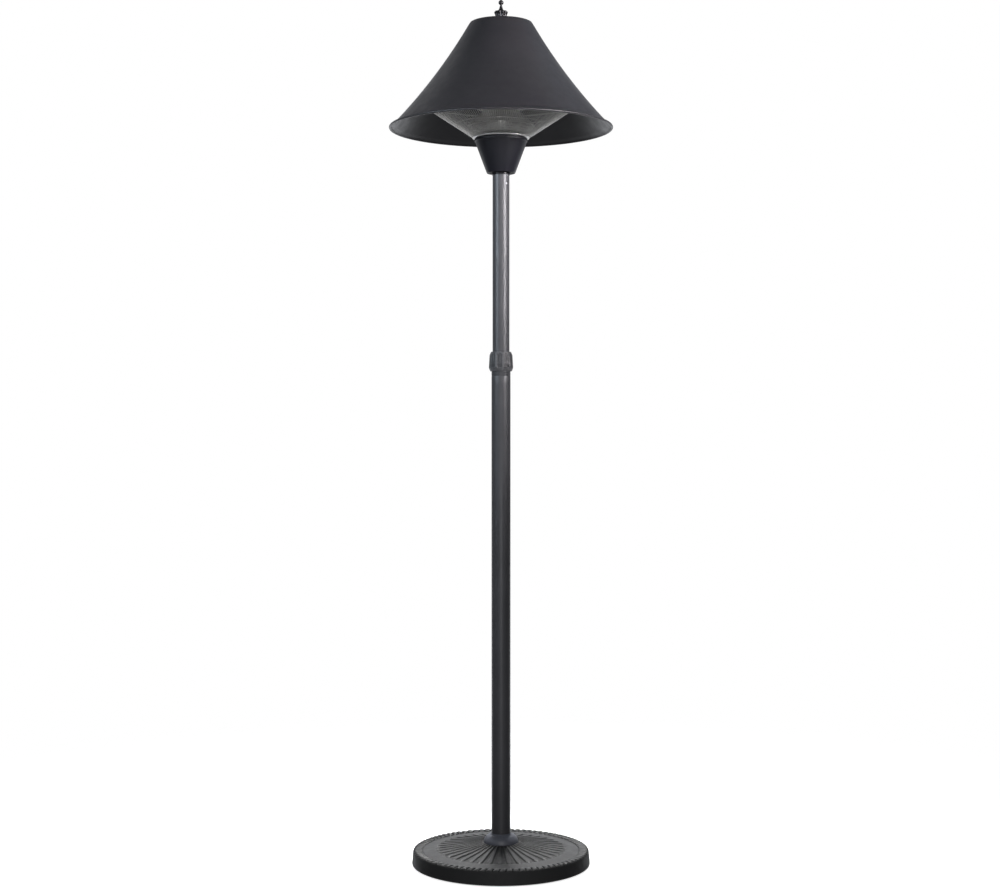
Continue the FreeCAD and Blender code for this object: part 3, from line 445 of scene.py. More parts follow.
def gloss_black():
    p = Paint("cup_gloss_black", (0.006, 0.006, 0.008), 0.34, Coat_Weight=0.08, Coat_Roughness=0.30)
    underside_painted_shade = p.attr("underside_painted_shade")
    skin = p.mix(p.span(p.noise(22.0, 3.0), 0.3, 0.7), (0.0042, 0.0042, 0.0068), (0.0058, 0.0058, 0.0090))
    # painted shade: the underside is coloured near black, made rougher and given little sheen
    p.color(p.mix(underside_painted_shade, skin, (0.004, 0.004, 0.0045)))
    scuff = p.noise(90.0, 3.0, 0.5, p.stretch(1.0, 1.0, 0.25))
    dull = p.math("ADD", p.math("MULTIPLY", underside_painted_shade, 0.5), p.math("MULTIPLY", p.attr("lip"), 0.16))
    p.rough(p.math("ADD", p.span(scuff, 0.35, 0.75, 0.33, 0.37), dull))
    p.link(p.span(underside_painted_shade, 0.0, 1.0, 0.26, 0.05), p.bsdf.inputs["Specular IOR Level"])
    p.bump(p.noise(60.0, 2.0, 0.4), 0.000008)
    return p


M["cup_black"] = gloss_black()


def polished(name, a, b, r_lo, r_hi, lines, depth):
    """Spun and polished sheet: fine turning lines round the axis."""
    p = Paint(name, b, r_hi, 1.0)
    turning = p.noise(1.0, 3.0, 0.65, p.polar(lines, 0.6, lines))
    smear = p.noise(30.0, 4.0, 0.6)
    p.color(p.mix(p.span(smear, 0.3, 0.7), a, b))
    satin = p.attr("satin")
    satin = p.math("MULTIPLY", satin, 0.06)
    p.rough(p.math("ADD", p.math("ADD", p.span(turning, 0.3, 0.7, r_lo, r_hi), p.span(smear, 0.4, 0.8, 0.0, 0.05)), satin))
    p.bump(turning, depth)
    return p


M["polished_reflector"] = polished("reflector_polished_aluminium", (0.31, 0.304, 0.292), (0.385, 0.379, 0.363),
                                   0.24, 0.32, 1600.0, 0.000006)
pr = M["polished_reflector"]
plain = pr.bsdf.inputs["Base Color"].links[0].from_socket
pr.color(pr.mix(pr.attr("bright"), plain, (0.51, 0.503, 0.483)))
M["bright_plate"] = polished("cover_bright_plate", (0.50, 0.50, 0.505), (0.60, 0.60, 0.605), 0.20, 0.28, 1800.0, 0.000006)


def metal(name, a, b, r_lo, r_hi, scale, depth, sx=1.0, sy=1.0, sz=1.0):
    p = Paint(name, b, r_hi, 1.0)
    v = p.stretch(sx, sy, sz)
    p.color(p.mix(p.span(p.noise(scale * 0.2, 4.0, 0.6), 0.3, 0.7), a, b))
    p.rough(p.span(p.noise(scale, 4.0, 0.6, v), 0.3, 0.7, r_lo, r_hi))
    p.bump(p.noise(scale * 2.5, 3.0, 0.6, v), depth)
    return p


M["guard_wire"] = metal("guard_bright_wire", (0.38, 0.372, 0.356), (0.46, 0.452, 0.434), 0.26, 0.34, 700.0, 0.000004)
gw = M["guard_wire"]
plain = gw.bsdf.inputs["Base Color"].links[0].from_socket
# painted highlight: the foot hoop is coloured lighter than the other wires, and made rougher
gw.color(gw.mix(gw.attr("foot"), plain, (0.56, 0.555, 0.545)))
plain = gw.bsdf.inputs["Roughness"].links[0].from_socket
gw.rough(gw.math("ADD", plain, gw.math("MULTIPLY", gw.attr("foot"), 0.22)))
M["dark_nickel"] = metal("finial_black_nickel", (0.024, 0.0235, 0.025), (0.040, 0.039, 0.041), 0.40, 0.48, 500.0, 0.000010)
M["zinc_steel"] = metal("fastener_zinc", (0.52, 0.54, 0.56), (0.66, 0.67, 0.68), 0.24, 0.40, 900.0, 0.000012)
M["spring_steel"] = metal("clip_spring_steel", (0.40, 0.40, 0.41), (0.55, 0.55, 0.56), 0.22, 0.36, 800.0, 0.00001, 1.0, 1.0, 0.15)
M["tungsten"] = metal("filament_tungsten", (0.22, 0.21, 0.20), (0.34, 0.32, 0.30), 0.35, 0.5, 1500.0, 0.00001)
M["plate_steel"] = powder_coat("base_plate_black_paint", (0.012, 0.012, 0.012), (0.02, 0.02, 0.021), 0.45, 0.58, 500.0, 0.00006)


def matte(name, a, b, r_lo, r_hi, grain, depth, **sockets):
    p = Paint(name, b, r_hi, 0.0, **sockets)
    p.color(p.mix(p.span(p.noise(grain * 0.12, 4.0, 0.6), 0.3, 0.7), a, b))
    p.rough(p.span(p.noise(grain * 0.3, 3.0, 0.6), 0.3, 0.7, r_lo, r_hi))
    p.bump(p.noise(grain, 3.0, 0.6), depth)
    return p


M["black_rubber"] = matte("black_rubber", (0.010, 0.010, 0.010), (0.018, 0.018, 0.0185), 0.62, 0.78, 1300.0, 0.00005)
M["nylon"] = matte("black_nylon", (0.016, 0.016, 0.017), (0.026, 0.026, 0.027), 0.42, 0.55, 1600.0, 0.00003)
M["switch_black"] = matte("switch_plastic", (0.010, 0.010, 0.011), (0.017, 0.017, 0.018), 0.34, 0.46, 2200.0, 0.00002)
M["lead_sheath"] = matte("lead_sheath", (0.012, 0.012, 0.012), (0.02, 0.02, 0.02), 0.45, 0.6, 1500.0, 0.00003)
M["heat_wire"] = matte("heat_proof_sleeving", (0.66, 0.64, 0.58), (0.78, 0.76, 0.71), 0.6, 0.75, 1900.0, 0.00009)
M["white_ceramic"] = matte("white_ceramic", (0.66, 0.64, 0.60), (0.80, 0.785, 0.75), 0.42, 0.58, 900.0, 0.00004)


M["heat_shield"] = powder_coat("dish_heat_proof_coat", (0.016, 0.016, 0.016), (0.026, 0.026, 0.025), 0.40, 0.50, 700.0, 0.00003)
hs = M["heat_shield"]
plain = hs.bsdf.inputs["Base Color"].links[0].from_socket
bare = hs.mix(hs.span(hs.noise(40.0, 4.0, 0.6), 0.3, 0.7), (0.68, 0.675, 0.66), (0.76, 0.755, 0.74))
hs.color(hs.mix(hs.attr("bare"), plain, bare))


def concrete():
    p = Paint("ballast_cast", (0.4, 0.39, 0.37), 0.9)
    stones = p.cells(170.0)
    p.color(p.mix(p.span(stones.outputs["Distance"], 0.1, 0.6), (0.30, 0.29, 0.27), (0.46, 0.45, 0.43)))
    p.rough(p.span(p.noise(90.0), 0.3, 0.7, 0.82, 0.95))
    p.bump(p.noise(300.0, 5.0, 0.65), 0.0004)
    return p


M["ballast_cast"] = concrete()


def quartz():
    p = Paint("quartz_glass", (0.97, 0.95, 0.92), 0.03, Transmission_Weight=1.0, IOR=1.458)
    p.rough(p.span(p.noise(70.0, 3.0), 0.35, 0.75, 0.02, 0.07))
    p.color(p.mix(p.span(p.noise(25.0, 3.0), 0.3, 0.7), (0.95, 0.92, 0.88), (0.99, 0.985, 0.97)))
    return p


M["quartz"] = quartz()


def dress(ob, body, slot, *stands_for):
    ob.data.materials.clear()
    ob.data.materials.append(M[slot].mat)
    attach(ob, body)
    if stands_for:
        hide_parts(*stands_for)
    return ob


# ------------------------------------------------------------------------ base
RIBS = 40
STRANDS = 84
STRAND_TALL = 3.8
STRAND_SKEW = 0.010
TURNS = 1008


def base_outline():
    top = [(7.0, 52.0), (30.0, 52.0), (41.6, 52.0), (43.6, 51.98)]
    for k in range(27):
        r = 45.2 + (158.0 - 45.2) * (k / 26.0) ** 0.9
        top.append((r, None))
    for r in (162.0, 167.0, 172.0, 177.0, 181.0, 183.4):
        top.append((r, None))
    for k in range(25):
        top.append((184.0 + 23.2 * k / 24.0, None))
    out = []
    for r, z in top:
        out.append((r, dome(r) if z is None else z))
    out += [(207.8, 33.6), (208.3, 32.6), (208.6, 30.0), (209.1, 24.0), (209.7, 17.0), (210.3, 11.0),
            (210.7, 7.2), (210.75, 5.6), (210.4, 4.0), (209.7, 2.9), (208.7, 2.45), (206.2, 2.45), (205.6, 3.0)]
    out += [(204.0, 30.8), (187.5, 30.8), (151.5, 34.4), (45.0, 49.0), (7.0, 49.0)]
    return out


def dome(r):
    if r <= 46.0:
        return 52.0
    if r <= 152.0:
        t = (r - 46.0) / 106.0
        return 52.0 + (37.4 - 52.0) * t - 0.9 * math.sin(math.pi * t)
    if r <= 187.0:
        return 37.4 + (34.0 - 37.4) * smooth01(r, 152.0, 187.0)
    return 34.0 + (33.9 - 34.0) * (r - 187.0) / 20.2


def rib_height(r, a):
    """Raised ribs with round outer ends: flat tops, steep flanks."""
    pitch = TAU / RIBS
    u = (((a + math.radians(1.5)) / pitch + 0.5) % 1.0) - 0.5
    x = abs(u) * pitch * r
    half = 0.30 * pitch * r
    end = 152.0
    if r > end - half:
        d = r - (end - half)
        if d >= half:
            return 0.0
        half = math.sqrt(max(half * half - d * d, 0.0))
    edge = 2.2
    return smooth01(half - x, -edge * 0.4, edge) * smooth01(r, 41.8, 44.5)


def rope_height(r, a):
    """Twisted strands across the border: rounded over, with a furrow between each two."""
    u = (r - 195.7) / 11.7
    if abs(u) >= 1.0:
        return 0.0
    arch = math.sqrt(1.0 - abs(u) ** 2.8)
    turn = (STRANDS * (a + STRAND_SKEW * u) / TAU + 0.2) % 1.0
    rise = turn / 0.58 if turn < 0.58 else (1.0 - turn) / 0.42
    lobe = math.sin(0.5 * math.pi * rise) ** 0.8
    return STRAND_TALL * arch * (0.10 + 0.90 * lobe)


def base_shape(r, z, a, i):
    if i < TOP_ROWS:
        z += 3.2 * rib_height(r, a) - 1.6 * smooth01(r, 41.8, 45.5) * smooth01(152.0 - r, 0.0, 2.5) + rope_height(r, a)
    return r, z


TOP_ROWS = 4 + 27 + 6 + 25
outline = base_outline()
base = lathe("base_cover", outline, TURNS, 40.0, base_shape)
co = np.zeros(len(base.data.vertices) * 3, np.float32)
base.data.vertices.foreach_get("co", co)
co = co.reshape(-1, 3) / MM
crest = np.zeros(len(co), np.float32)
# mask of painted shade on the base: rope furrows and outer slope, rib valleys and flanks, top rows of the side wall
base_painted_shade = np.zeros(len(co), np.float32)
for k, (x, y, z) in enumerate(co):
    row = k // TURNS
    if row < TOP_ROWS:
        r = math.hypot(x, y)
        a = math.atan2(x, -y) % TAU
        crest[k] = max(rib_height(r, a), rope_height(r, a) / STRAND_TALL)
        if 184.5 < r < 207.6:
            u = (r - 195.7) / 11.7
            lobe = rope_height(r, a) / (STRAND_TALL * math.sqrt(max(1.0 - abs(u) ** 2.8, 0.02)))
            base_painted_shade[k] = max(1.0 - smooth01(lobe, 0.30, 0.86), 0.5 * smooth01(u, 0.25, 0.85)) * smooth01(r, 184.5, 187.0)
        elif 44.0 < r < 153.0:
            rib = rib_height(r, a)
            flank = 4.0 * rib * (1.0 - rib)
            base_painted_shade[k] = max(0.20 * (1.0 - smooth01(rib, 0.05, 0.6)) * smooth01(152.0 - r, 0.0, 1.5), 0.55 * flank)
    # painted shade on the top rows of the side wall
    elif row < TOP_ROWS + 12:
        base_painted_shade[k] = 0.55
base.data.attributes.new("crest", "FLOAT", "POINT").data.foreach_set("value", crest)
base.data.attributes.new("base_painted_shade", "FLOAT", "POINT").data.foreach_set("value", base_painted_shade)
dress(base, "base", "base_moulding", "base_shell")

# bell at the foot of the pole
bell = [(39.0, 52.1), (40.7, 52.1), (41.4, 52.9), (41.4, 54.4)]
bell += arc_points((40.8, 56.6), (26.4, 72.2), 22.0, 1, 14)
bell += [(25.2, 73.5), (24.5, 74.6), (23.6, 75.0), (22.65, 74.8), (22.65, 71.8), (24.6, 70.4), (37.6, 56.8)]
bell_ob = lathe("pole_bell", bell, 160, 40.0)
bell_ob.data.attributes.new("bell", "FLOAT", "POINT").data.foreach_set("value", np.ones(len(bell_ob.data.vertices), np.float32))
dress(bell_ob, "base", "base_moulding", "pole_flange")

# lower pole: tube with a cord hole at the rear and a shallow swage line near its top
tube = [(21.5, 52.1), (22.1, 52.1), (22.5, 52.6)]
z = 60.0
while z < 1150.0:
    tube.append((22.5, z))
    z += 40.0
for zc in (1158.6,):
    tube += [(22.5, zc - 1.3), (22.38, zc - 0.9), (22.24, zc - 0.3), (22.24, zc + 0.3), (22.38, zc + 0.9), (22.5, zc + 1.3)]
tube += [(22.5, 1187.4), (22.1, 1188.0), (21.5, 1188.0)]
low = lathe("lower_tube", tube, 128, 35.0)
drill = solid_lathe("drill", [(0, 0), (7.0, 0), (7.0, 20.0), (0, 20.0)], 48, 35.0, (0, 1, 0), (0, 12.0, 120.0))
boolean(low, drill, "DIFFERENCE", 35.0)
dress(low, "base", "pole_coat", "lower_pole")

# rubber inlet, with rounded lips
inlet = rounded([(4.0, 0.0, 0.9), (9.0, 0.0, 0.8), (9.0, 2.0, 0.6), (6.9, 2.1), (6.9, 5.4), (9.0, 5.5, 0.8), (9.0, 7.5, 1.1), (5.6, 7.9, 0.8), (4.0, 6.6, 0.8)], 4)
v, f = turned_grid(inlet, 64)
v = [(p[0], 17.0 + p[2], 120.0 + p[1]) for p in v]
dress(add_mesh("cord_inlet", v, f, 40.0), "base", "black_rubber", "cord_grommet")

# feet with a domed tread
parts = []
for k in range(6):
    a = math.radians(30.0 + 60.0 * k)
    foot = rounded([(0.01, 0.0), (13.0, 0.0, 0.6), (14.0, 1.0, 0.6), (13.4, 3.0, 0.4), (4.0, 3.0, 0.3), (3.6, 9.0), (3.9, 10.4, 0.4), (2.6, 12.0, 0.5), (0.01, 12.0)], 3)
    v, f = turned_grid(foot, 40)
    parts.append(([(p[0] + 180.0 * math.cos(a), p[1] + 180.0 * math.sin(a), p[2]) for p in v], f))
dress(add_mesh("feet", *join_parts(parts), 40.0), "base", "black_rubber", "rubber_feet")

# coiled lead inside the lower pole
turns = 96
pts = []
for k in range(turns * 14 + 1):
    t = k / 14.0
    a = TAU * t
    pts.append((8.2 * math.cos(a), 8.2 * math.sin(a), 103.8 + (1085.8 - 103.8) * t / turns))
coil = add_mesh("coiled_lead", *sweep(pts, 3.5, 8), 50.0)
dress(coil, "base", "lead_sheath", "lead_coil")
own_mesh(coil)


# ---------------------------------------------------------------------- collar
FLUTES = 10
FLUTE_TURN = math.radians(-7.0)


def flute(r, z, a):
    """Depth of the collar's scoops: arched top, deep rounded foot."""
    pitch = TAU / FLUTES
    u = (((a - FLUTE_TURN) / pitch + 0.5) % 1.0) - 0.5
    half = 0.36
    top, foot = 1206.5, 1180.0
    if z > top:
        d = (z - top) / 6.0
        if d >= 1.0:
            return 0.0, 0.0
        half *= math.sqrt(1.0 - d * d)
    if z < foot:
        d = (foot - z) / 3.4
        if d >= 1.0:
            return 0.0, 0.0
        half *= math.sqrt(1.0 - d * d)
    if half < 1e-4:
        return 0.0, 0.0
    x = u / half
    if abs(x) >= 1.0:
        return 0.0, 0.0
    cut = (1.0 - x * x) ** 0.6
    deep = 1.15 + 1.35 * smooth01(1188.0 - z, 0.0, 8.0)
    spine = 0.55 * math.exp(-(x / 0.22) ** 2) * smooth01(z, 1188.0, 1194.0) * smooth01(1210.0 - z, 0.0, 4.0)
    return deep * cut - spine, cut


def collar_shape(r, z, a, i):
    if i < COLLAR_OUT:
        d, _ = flute(r, z, a)
        r -= d
    return r, z


skin = [(23.4, 1169.5), (25.3, 1169.5), (25.9, 1170.1), (26.8, 1172.4), (28.0, 1175.6)]
for k in range(37):
    z = 1176.6 + (1212.8 - 1176.6) * k / 36.0
    if z <= 1178.5:
        r = 28.35 + 0.45 * smooth01(z, 1176.6, 1178.5)
    elif z <= 1207.0:
        r = 28.8 + (27.2 - 28.8) * (z - 1178.5) / 28.5
    else:
        r = 27.2 + (24.9 - 27.2) * ((z - 1207.0) / 5.8) ** 1.25
    skin.append((r, z))
skin += [(24.5, 1214.0), (24.1, 1215.1), (23.4, 1215.8), (21.2, 1215.8)]
COLLAR_OUT = len(skin)
skin += [(20.7, 1215.4), (20.6, 1214.6), (20.6, 1211.2), (22.9, 1210.4), (22.9, 1170.0)]
collar = lathe("twist_collar", skin, 400, 40.0, collar_shape)
co = np.zeros(len(collar.data.vertices) * 3, np.float32)
collar.data.vertices.foreach_get("co", co)
co = co.reshape(-1, 3) / MM
crest = np.zeros(len(co), np.float32)
for k, (x, y, z) in enumerate(co):
    if k // 400 < COLLAR_OUT:
        crest[k] = 1.0 - min(1.0, flute(0.0, z, math.atan2(x, -y) % TAU)[1] * 2.0)
collar.data.attributes.new("crest", "FLOAT", "POINT").data.foreach_set("value", crest)
dress(collar, "collar", "collar_moulding", "lock_collar")

# ------------------------------------------------------------------ upper pole
tube = [(18.8, 1100.0), (19.6, 1100.0), (20.0, 1100.5)]
z = 1120.0
while z < 1636.0:
    tube.append((20.0, z))
    z += 40.0
tube += [(20.0, 1638.9), (19.6, 1639.4), (18.8, 1639.4)]
dress(lathe("upper_tube", tube, 128, 35.0), "head", "pole_coat", "upper_pole")

ring = rounded([(20.1, 1635.5, 0.2), (21.9, 1635.5, 0.4), (22.3, 1636.3, 0.3), (22.3, 1639.4, 0.3), (20.1, 1639.4)], 4)
dress(lathe("neck_collar", ring, 128, 40.0), "head", "cup_black", "neck_ring")

turn = math.radians(41.0)
side = (math.sin(turn), -math.cos(turn), 0.0)
parts = []
for z in (1632.6, 1614.0):
    dome_head = [(0, 0), (1.9, 0), (1.9, 6.0), (2.45, 6.05), (2.6, 6.3), (2.58, 6.6), (2.35, 7.1), (1.8, 7.5), (1.0, 7.7), (0, 7.75)]
    at = tuple(c * 14.0 for c in side[:2]) + (z,)
    s = solid_lathe("screw", dome_head, 40, 40.0, side, at)
    q = Vector((0, 0, 1)).rotation_difference(Vector(side))
    for ang in (0.0, 90.0):
        v, f = rounded_box((-1.5, -0.32, 6.9), (1.5, 0.32, 9.0), 0.0)
        rot = Matrix.Rotation(math.radians(ang + 20.0), 3, "Z")
        v = [tuple(q @ (rot @ Vector(p)) + Vector(at)) for p in v]
        boolean(s, add_mesh("driver", v, f), "DIFFERENCE", 40.0)
    parts.append(([tuple(c / MM for c in p.co) for p in s.data.vertices], [tuple(p.vertices) for p in s.data.polygons]))
    bpy.data.objects.remove(s)
dress(add_mesh("neck_screw_pair", *join_parts(parts), 35.0), "head", "zinc_steel", "neck_screws")

# ------------------------------------------------------------------------- cup
cup_line = rounded([
    (18.8, 1639.6), (33.2, 1639.6, 1.0), (34.0, 1640.6, 1.0), (61.2, 1713.0, 3.0), (62.8, 1715.0, 1.2),
    (63.0, 1716.2, 1.0), (63.0, 1720.6, 1.4), (61.6, 1722.4, 0.8), (59.6, 1722.4), (59.6, 1715.4), (32.0, 1642.1), (18.8, 1642.1)], 5)
cup = lathe("heater_cup", cup_line, 192, 40.0)
v, f = rounded_box((-12.0, 40.0, 1673.2), (12.0, 56.0, 1700.8), 1.6, 3)
boolean(cup, add_mesh("boss", v, f), "UNION", 35.0)
v, f = rounded_box((-9.15, 20.0, 1676.05), (9.15, 61.0, 1697.95), 0.0)
boolean(cup, add_mesh("window", v, f), "DIFFERENCE", 35.0)
co = np.zeros(len(cup.data.vertices) * 3, np.float32)
cup.data.vertices.foreach_get("co", co)
co = co.reshape(-1, 3) / MM
# mask of painted shade: the cup's flat underside
underside_painted_shade = np.zeros(len(co), np.float32)
underside_painted_shade[co[:, 2] < 1639.9] = 1.0
cup.data.attributes.new("underside_painted_shade", "FLOAT", "POINT").data.foreach_set("value", underside_painted_shade)
cup.data.attributes.new("lip", "FLOAT", "POINT").data.foreach_set("value", (co[:, 2] > 1712.0).astype(np.float32))
dress(cup, "head", "cup_black", "cup")

plate = rounded([(5.2, 1722.5), (63.1, 1722.5, 0.4), (63.6, 1723.1, 0.4), (63.6, 1726.8, 0.3), (63.3, 1727.1, 0.2),
                 (62.6, 1727.1, 0.2), (62.4, 1724.9, 0.4), (61.8, 1724.3, 0.3), (5.2, 1724.3)], 4)
dress(lathe("cup_plate", plate, 192, 40.0), "head", "bright_plate", "cup_cover")

# rocker and its frame
v, f = rounded_box((-9.0, 32.0, 1676.2), (9.0, 57.0, 1697.8), 0.7, 3)
frame_ob = add_mesh("switch_frame", v, f, 35.0)
v, f = rounded_box((-7.5, 45.5, 1677.4), (7.5, 61.0, 1696.6), 0.0)
boolean(frame_ob, add_mesh("well", v, f), "DIFFERENCE", 35.0)
dress(frame_ob, "head", "switch_black", "switch_body")


def rocker_mesh():
    hw, hh = 7.1, 8.4
    face = [(6.9, -hh + 1.2), (6.25, -hh * 0.5), (6.0, 0.0), (6.25, hh * 0.5), (6.9, hh - 1.2)]
    pts = [(-3.2, -3.0), (0.0, -hh), (5.4, -hh)] + face + [(5.4, hh), (0.0, hh), (-3.2, 3.0)]
    bm = bmesh.new()
    lo = [bm.verts.new((-hw, y, z)) for y, z in pts]
    hi = [bm.verts.new((hw, y, z)) for y, z in pts]
    n = len(pts)
    bm.faces.new(lo)
    bm.faces.new(hi[::-1])
    for i in range(n):
        j = (i + 1) % n
        bm.faces.new((lo[i], hi[i], hi[j], lo[j]))
    bmesh.ops.recalc_face_normals(bm, faces=bm.faces)
    bmesh.ops.bevel(bm, geom=[e for e in bm.edges if e.calc_face_angle(0.0) > 0.5], offset=0.45, segments=3,
                    profile=0.5, affect="EDGES", clamp_overlap=True)
    bm.verts.index_update()
    v = [tuple(x.co) for x in bm.verts]
    f = [tuple(x.index for x in q.verts) for q in bm.faces]
    bm.free()
    parts = [(v, f)]
    # raised marks: a bar on the upper half, a ring on the lower half
    bv, bf = rounded_box((-0.35, 6.2, 2.9), (0.35, 6.85, 5.7), 0.12, 2)
    parts.append((bv, bf))
    tv, tf = turned_grid([(1.15 + 0.28 * math.cos(t), 0.28 * math.sin(t)) for t in (TAU * k / 8 for k in range(8))], 32)
    parts.append(([(p[0], 6.5 + p[2], -4.3 + p[1]) for p in tv], tf))
    v, f = join_parts(parts)
    rot = Matrix.Rotation(math.radians(-8.0), 3, "X")
    v = [tuple(rot @ Vector(p) + Vector((0, 51.0, 1687.0))) for p in v]
    return add_mesh("rocker_paddle", v, f, 35.0)


dress(rocker_mesh(), "rocker", "switch_black", "switch_rocker")

# ------------------------------------------------------------------ reflectors
skirt = [(44.0, 1724.35), (59.4, 1724.35), (60.2, 1724.7), (77.0, 1749.0), (77.0, 1749.4), (76.2, 1749.4), (59.6, 1725.15), (44.0, 1725.15)]
dress(lathe("reflector_skirt", skirt, 256, 35.0), "head", "polished_reflector", "lower_reflector")

cone = [(78.2 + 1.5 * math.cos(t), 1751.4 + 1.5 * math.sin(t)) for t in (math.radians(180 + 15 * k) for k in range(19))]
line0, line1 = (78.2, 1752.9), (13.0, 1818.8)
for k in range(1, 13):
    t = k / 12.0
    cone.append((line0[0] + (line1[0] - line0[0]) * t, line0[1] + (line1[1] - line0[1]) * t))
cone += [(11.8, 1818.8), (5.2, 1818.8), (5.2, 1818.0), (12.6, 1818.0)]
cone_ob = lathe("reflector_cone_skin", cone, 256, 35.0)
satin = np.ones(len(cone_ob.data.vertices), np.float32)
satin[:19 * 256] = 0.0
cone_ob.data.attributes.new("satin", "FLOAT", "POINT").data.foreach_set("value", satin)
bright = np.ones(len(cone_ob.data.vertices), np.float32)
cone_ob.data.attributes.new("bright", "FLOAT", "POINT").data.foreach_set("value", bright)
dress(cone_ob, "head", "polished_reflector", "reflector_cone")

dish = [(5.2, 1838.0), (38.0, 1838.0), (42.0, 1837.8)]
for k in range(1, 12):
    t = k / 11.0
    dish.append((42.0 + (185.6 - 42.0) * t, 1837.8 + (1824.0 - 1837.8) * t))
dish += [(187.4, 1822.0), (189.7, 1815.0), (190.5, 1815.0), (188.2, 1822.6), (186.4, 1824.8)]
for k in range(1, 12):
    t = k / 11.0
    dish.append((186.4 + (42.0 - 186.4) * t, 1824.8 + (1838.6 - 1824.8) * t))
dish += [(38.0, 1838.8), (5.2, 1838.8)]
dish_ob = lathe("reflector_dish_skin", dish, 256, 35.0)
co = np.zeros(len(dish_ob.data.vertices) * 3, np.float32)
dish_ob.data.vertices.foreach_get("co", co)
co = co.reshape(-1, 3) / MM
bare = (np.hypot(co[:, 0], co[:, 1]) < 96.0).astype(np.float32)
dish_ob.data.attributes.new("bare", "FLOAT", "POINT").data.foreach_set("value", bare)
dress(dish_ob, "head", "heat_shield", "reflector_dish")

# ------------------------------------------------------------------------ lamp
def ring_points(radius, count, trim):
    out = []
    for k in range(count + 1):
        a = math.radians(90.0 + 15.0 + trim + (330.0 - 2 * trim) * k / count)
        out.append((radius * math.cos(a), radius * math.sin(a), 1812.0))
    return out


outer_v, outer_f = sweep(ring_points(105.0, 180, 0.0), 6.0, 24)
inner_v, inner_f = sweep(ring_points(105.0, 180, 0.6), 4.8, 24)
lamp = add_mesh("lamp_glass", *join_parts([(outer_v, outer_f), (inner_v, [q[::-1] for q in inner_f])]), 50.0, fix=False)
dress(lamp, "head", "quartz", "lamp_tube")

pts = []
loops = 300
for k in range(loops * 8 + 1):
    t = k / (loops * 8.0)
    a = math.radians(90.0 + 15.0 + 1.0 + 328.0 * t)
    b = TAU * loops * t
    rr = 105.0 + 1.35 * math.cos(b)
    pts.append((rr * math.cos(a), rr * math.sin(a), 1812.0 + 1.35 * math.sin(b)))
dress(add_mesh("filament_coil", *sweep(pts, 0.24, 5), 60.0), "head", "tungsten", "lamp_filament")

# ----------------------------------------------------------------------- guard
LOW_R, LOW_Z, TOP_R, SLOPE, WIRES = 66.0, 1724.2, 193.0, 1.5193, 156
TOP_Z = LOW_Z + (TOP_R - LOW_R) / SLOPE
run = Vector((TOP_R - LOW_R, 0, TOP_Z - LOW_Z)).normalized()
inward = Vector((-run.z, 0, run.x))
parts = []
for r0, wire, lift in ((LOW_R, 2.1, 0.0), (110.0, 1.2, 1.65), (154.0, 1.2, 1.65), (TOP_R, 1.8, 2.25)):
    c = Vector((r0, 0, LOW_Z + (r0 - LOW_R) / SLOPE)) + inward * lift
    ringp = [(c.x * math.cos(TAU * k / 240), c.x * math.sin(TAU * k / 240), c.z) for k in range(240)]
    parts.append(sweep(ringp, wire, 14, True))
a_lo = Vector((LOW_R, 0, LOW_Z)) + run * 0.4
a_hi = Vector((TOP_R, 0, TOP_Z)) + run * 1.5
for k in range(WIRES):
    rot = Matrix.Rotation(TAU * (k + 0.5) / WIRES, 3, "Z")
    p, q = rot @ a_lo, rot @ a_hi
    parts.append(sweep([tuple(x) for x in (p, p.lerp(q, 0.33), p.lerp(q, 0.66), q)], 0.64, 10))
guard = add_mesh("wire_guard", *join_parts(parts), 50.0)
# mask of the painted highlight: the foot hoop
foot = np.zeros(len(guard.data.vertices), np.float32)
foot[:len(parts[0][0])] = 1.0
guard.data.attributes.new("foot", "FLOAT", "POINT").data.foreach_set("value", foot)
dress(guard, "head", "guard_wire", "guard")

# ----------------------------------------------------------------------- shade
inside = arc_points((74.5, 1993.9), (250.2, 1755.8), 1332.8, 1, 40)
outside = arc_points((250.8, 1756.3), (75.2, 1994.3), 1332.0, -1, 40)
bead_c, bead_r = (262.9, 1746.4), 2.75
curl = []
for k in range(25):
    t = math.radians(200.0 + (480.0 - 200.0) * k / 24.0)
    curl.append((bead_c[0] + bead_r * math.cos(t), bead_c[1] + bead_r * math.sin(t)))
sh = [(5.2, 1996.7), (60.0, 1996.7), (66.6, 1996.7), (70.6, 1996.2), (73.2, 1995.0)]
sh += inside[1:-1]
sh += [(250.6, 1754.9), (252.0, 1753.4), (256.0, 1750.2), (259.4, 1747.6)]
sh += curl
sh += [(258.4, 1750.4), (254.4, 1753.6), (252.6, 1755.0), (251.6, 1755.9)]
sh += outside[1:-1]
sh += [(74.0, 1995.5), (71.6, 1996.7), (68.0, 1997.4), (63.0, 1997.5), (5.2, 1997.5)]
shade_ob = lathe("shade_spinning", sh, 288, 50.0)
co = np.zeros(len(shade_ob.data.vertices) * 3, np.float32)
shade_ob.data.vertices.foreach_get("co", co)
# mask of painted shade rising towards the crown
crown_painted_shade = np.clip((co.reshape(-1, 3)[:, 2] / MM - 1850.0) / 120.0, 0.0, 1.0).astype(np.float32)
shade_ob.data.attributes.new("crown_painted_shade", "FLOAT", "POINT").data.foreach_set("value", crown_painted_shade)
dress(shade_ob, "head", "shade_coat", "shade")

# ---------------------------------------------------------------------- finial
LOBES = 9


def finial_shape(r, z, a, i):
    if 2000.2 < z < 2025.0 and r > 5.5:
        w = smooth01(z, 2000.2, 2004.0) * smooth01(2025.0 - z, 0.0, 1.2)
        lobe = abs(math.sin(LOBES * a / 2.0)) ** 0.75
        deep = 0.10 + 0.10 * smooth01(z, 2006.0, 2021.0)
        r *= 1.0 - w * deep * (1.0 - lobe)
    return r, z


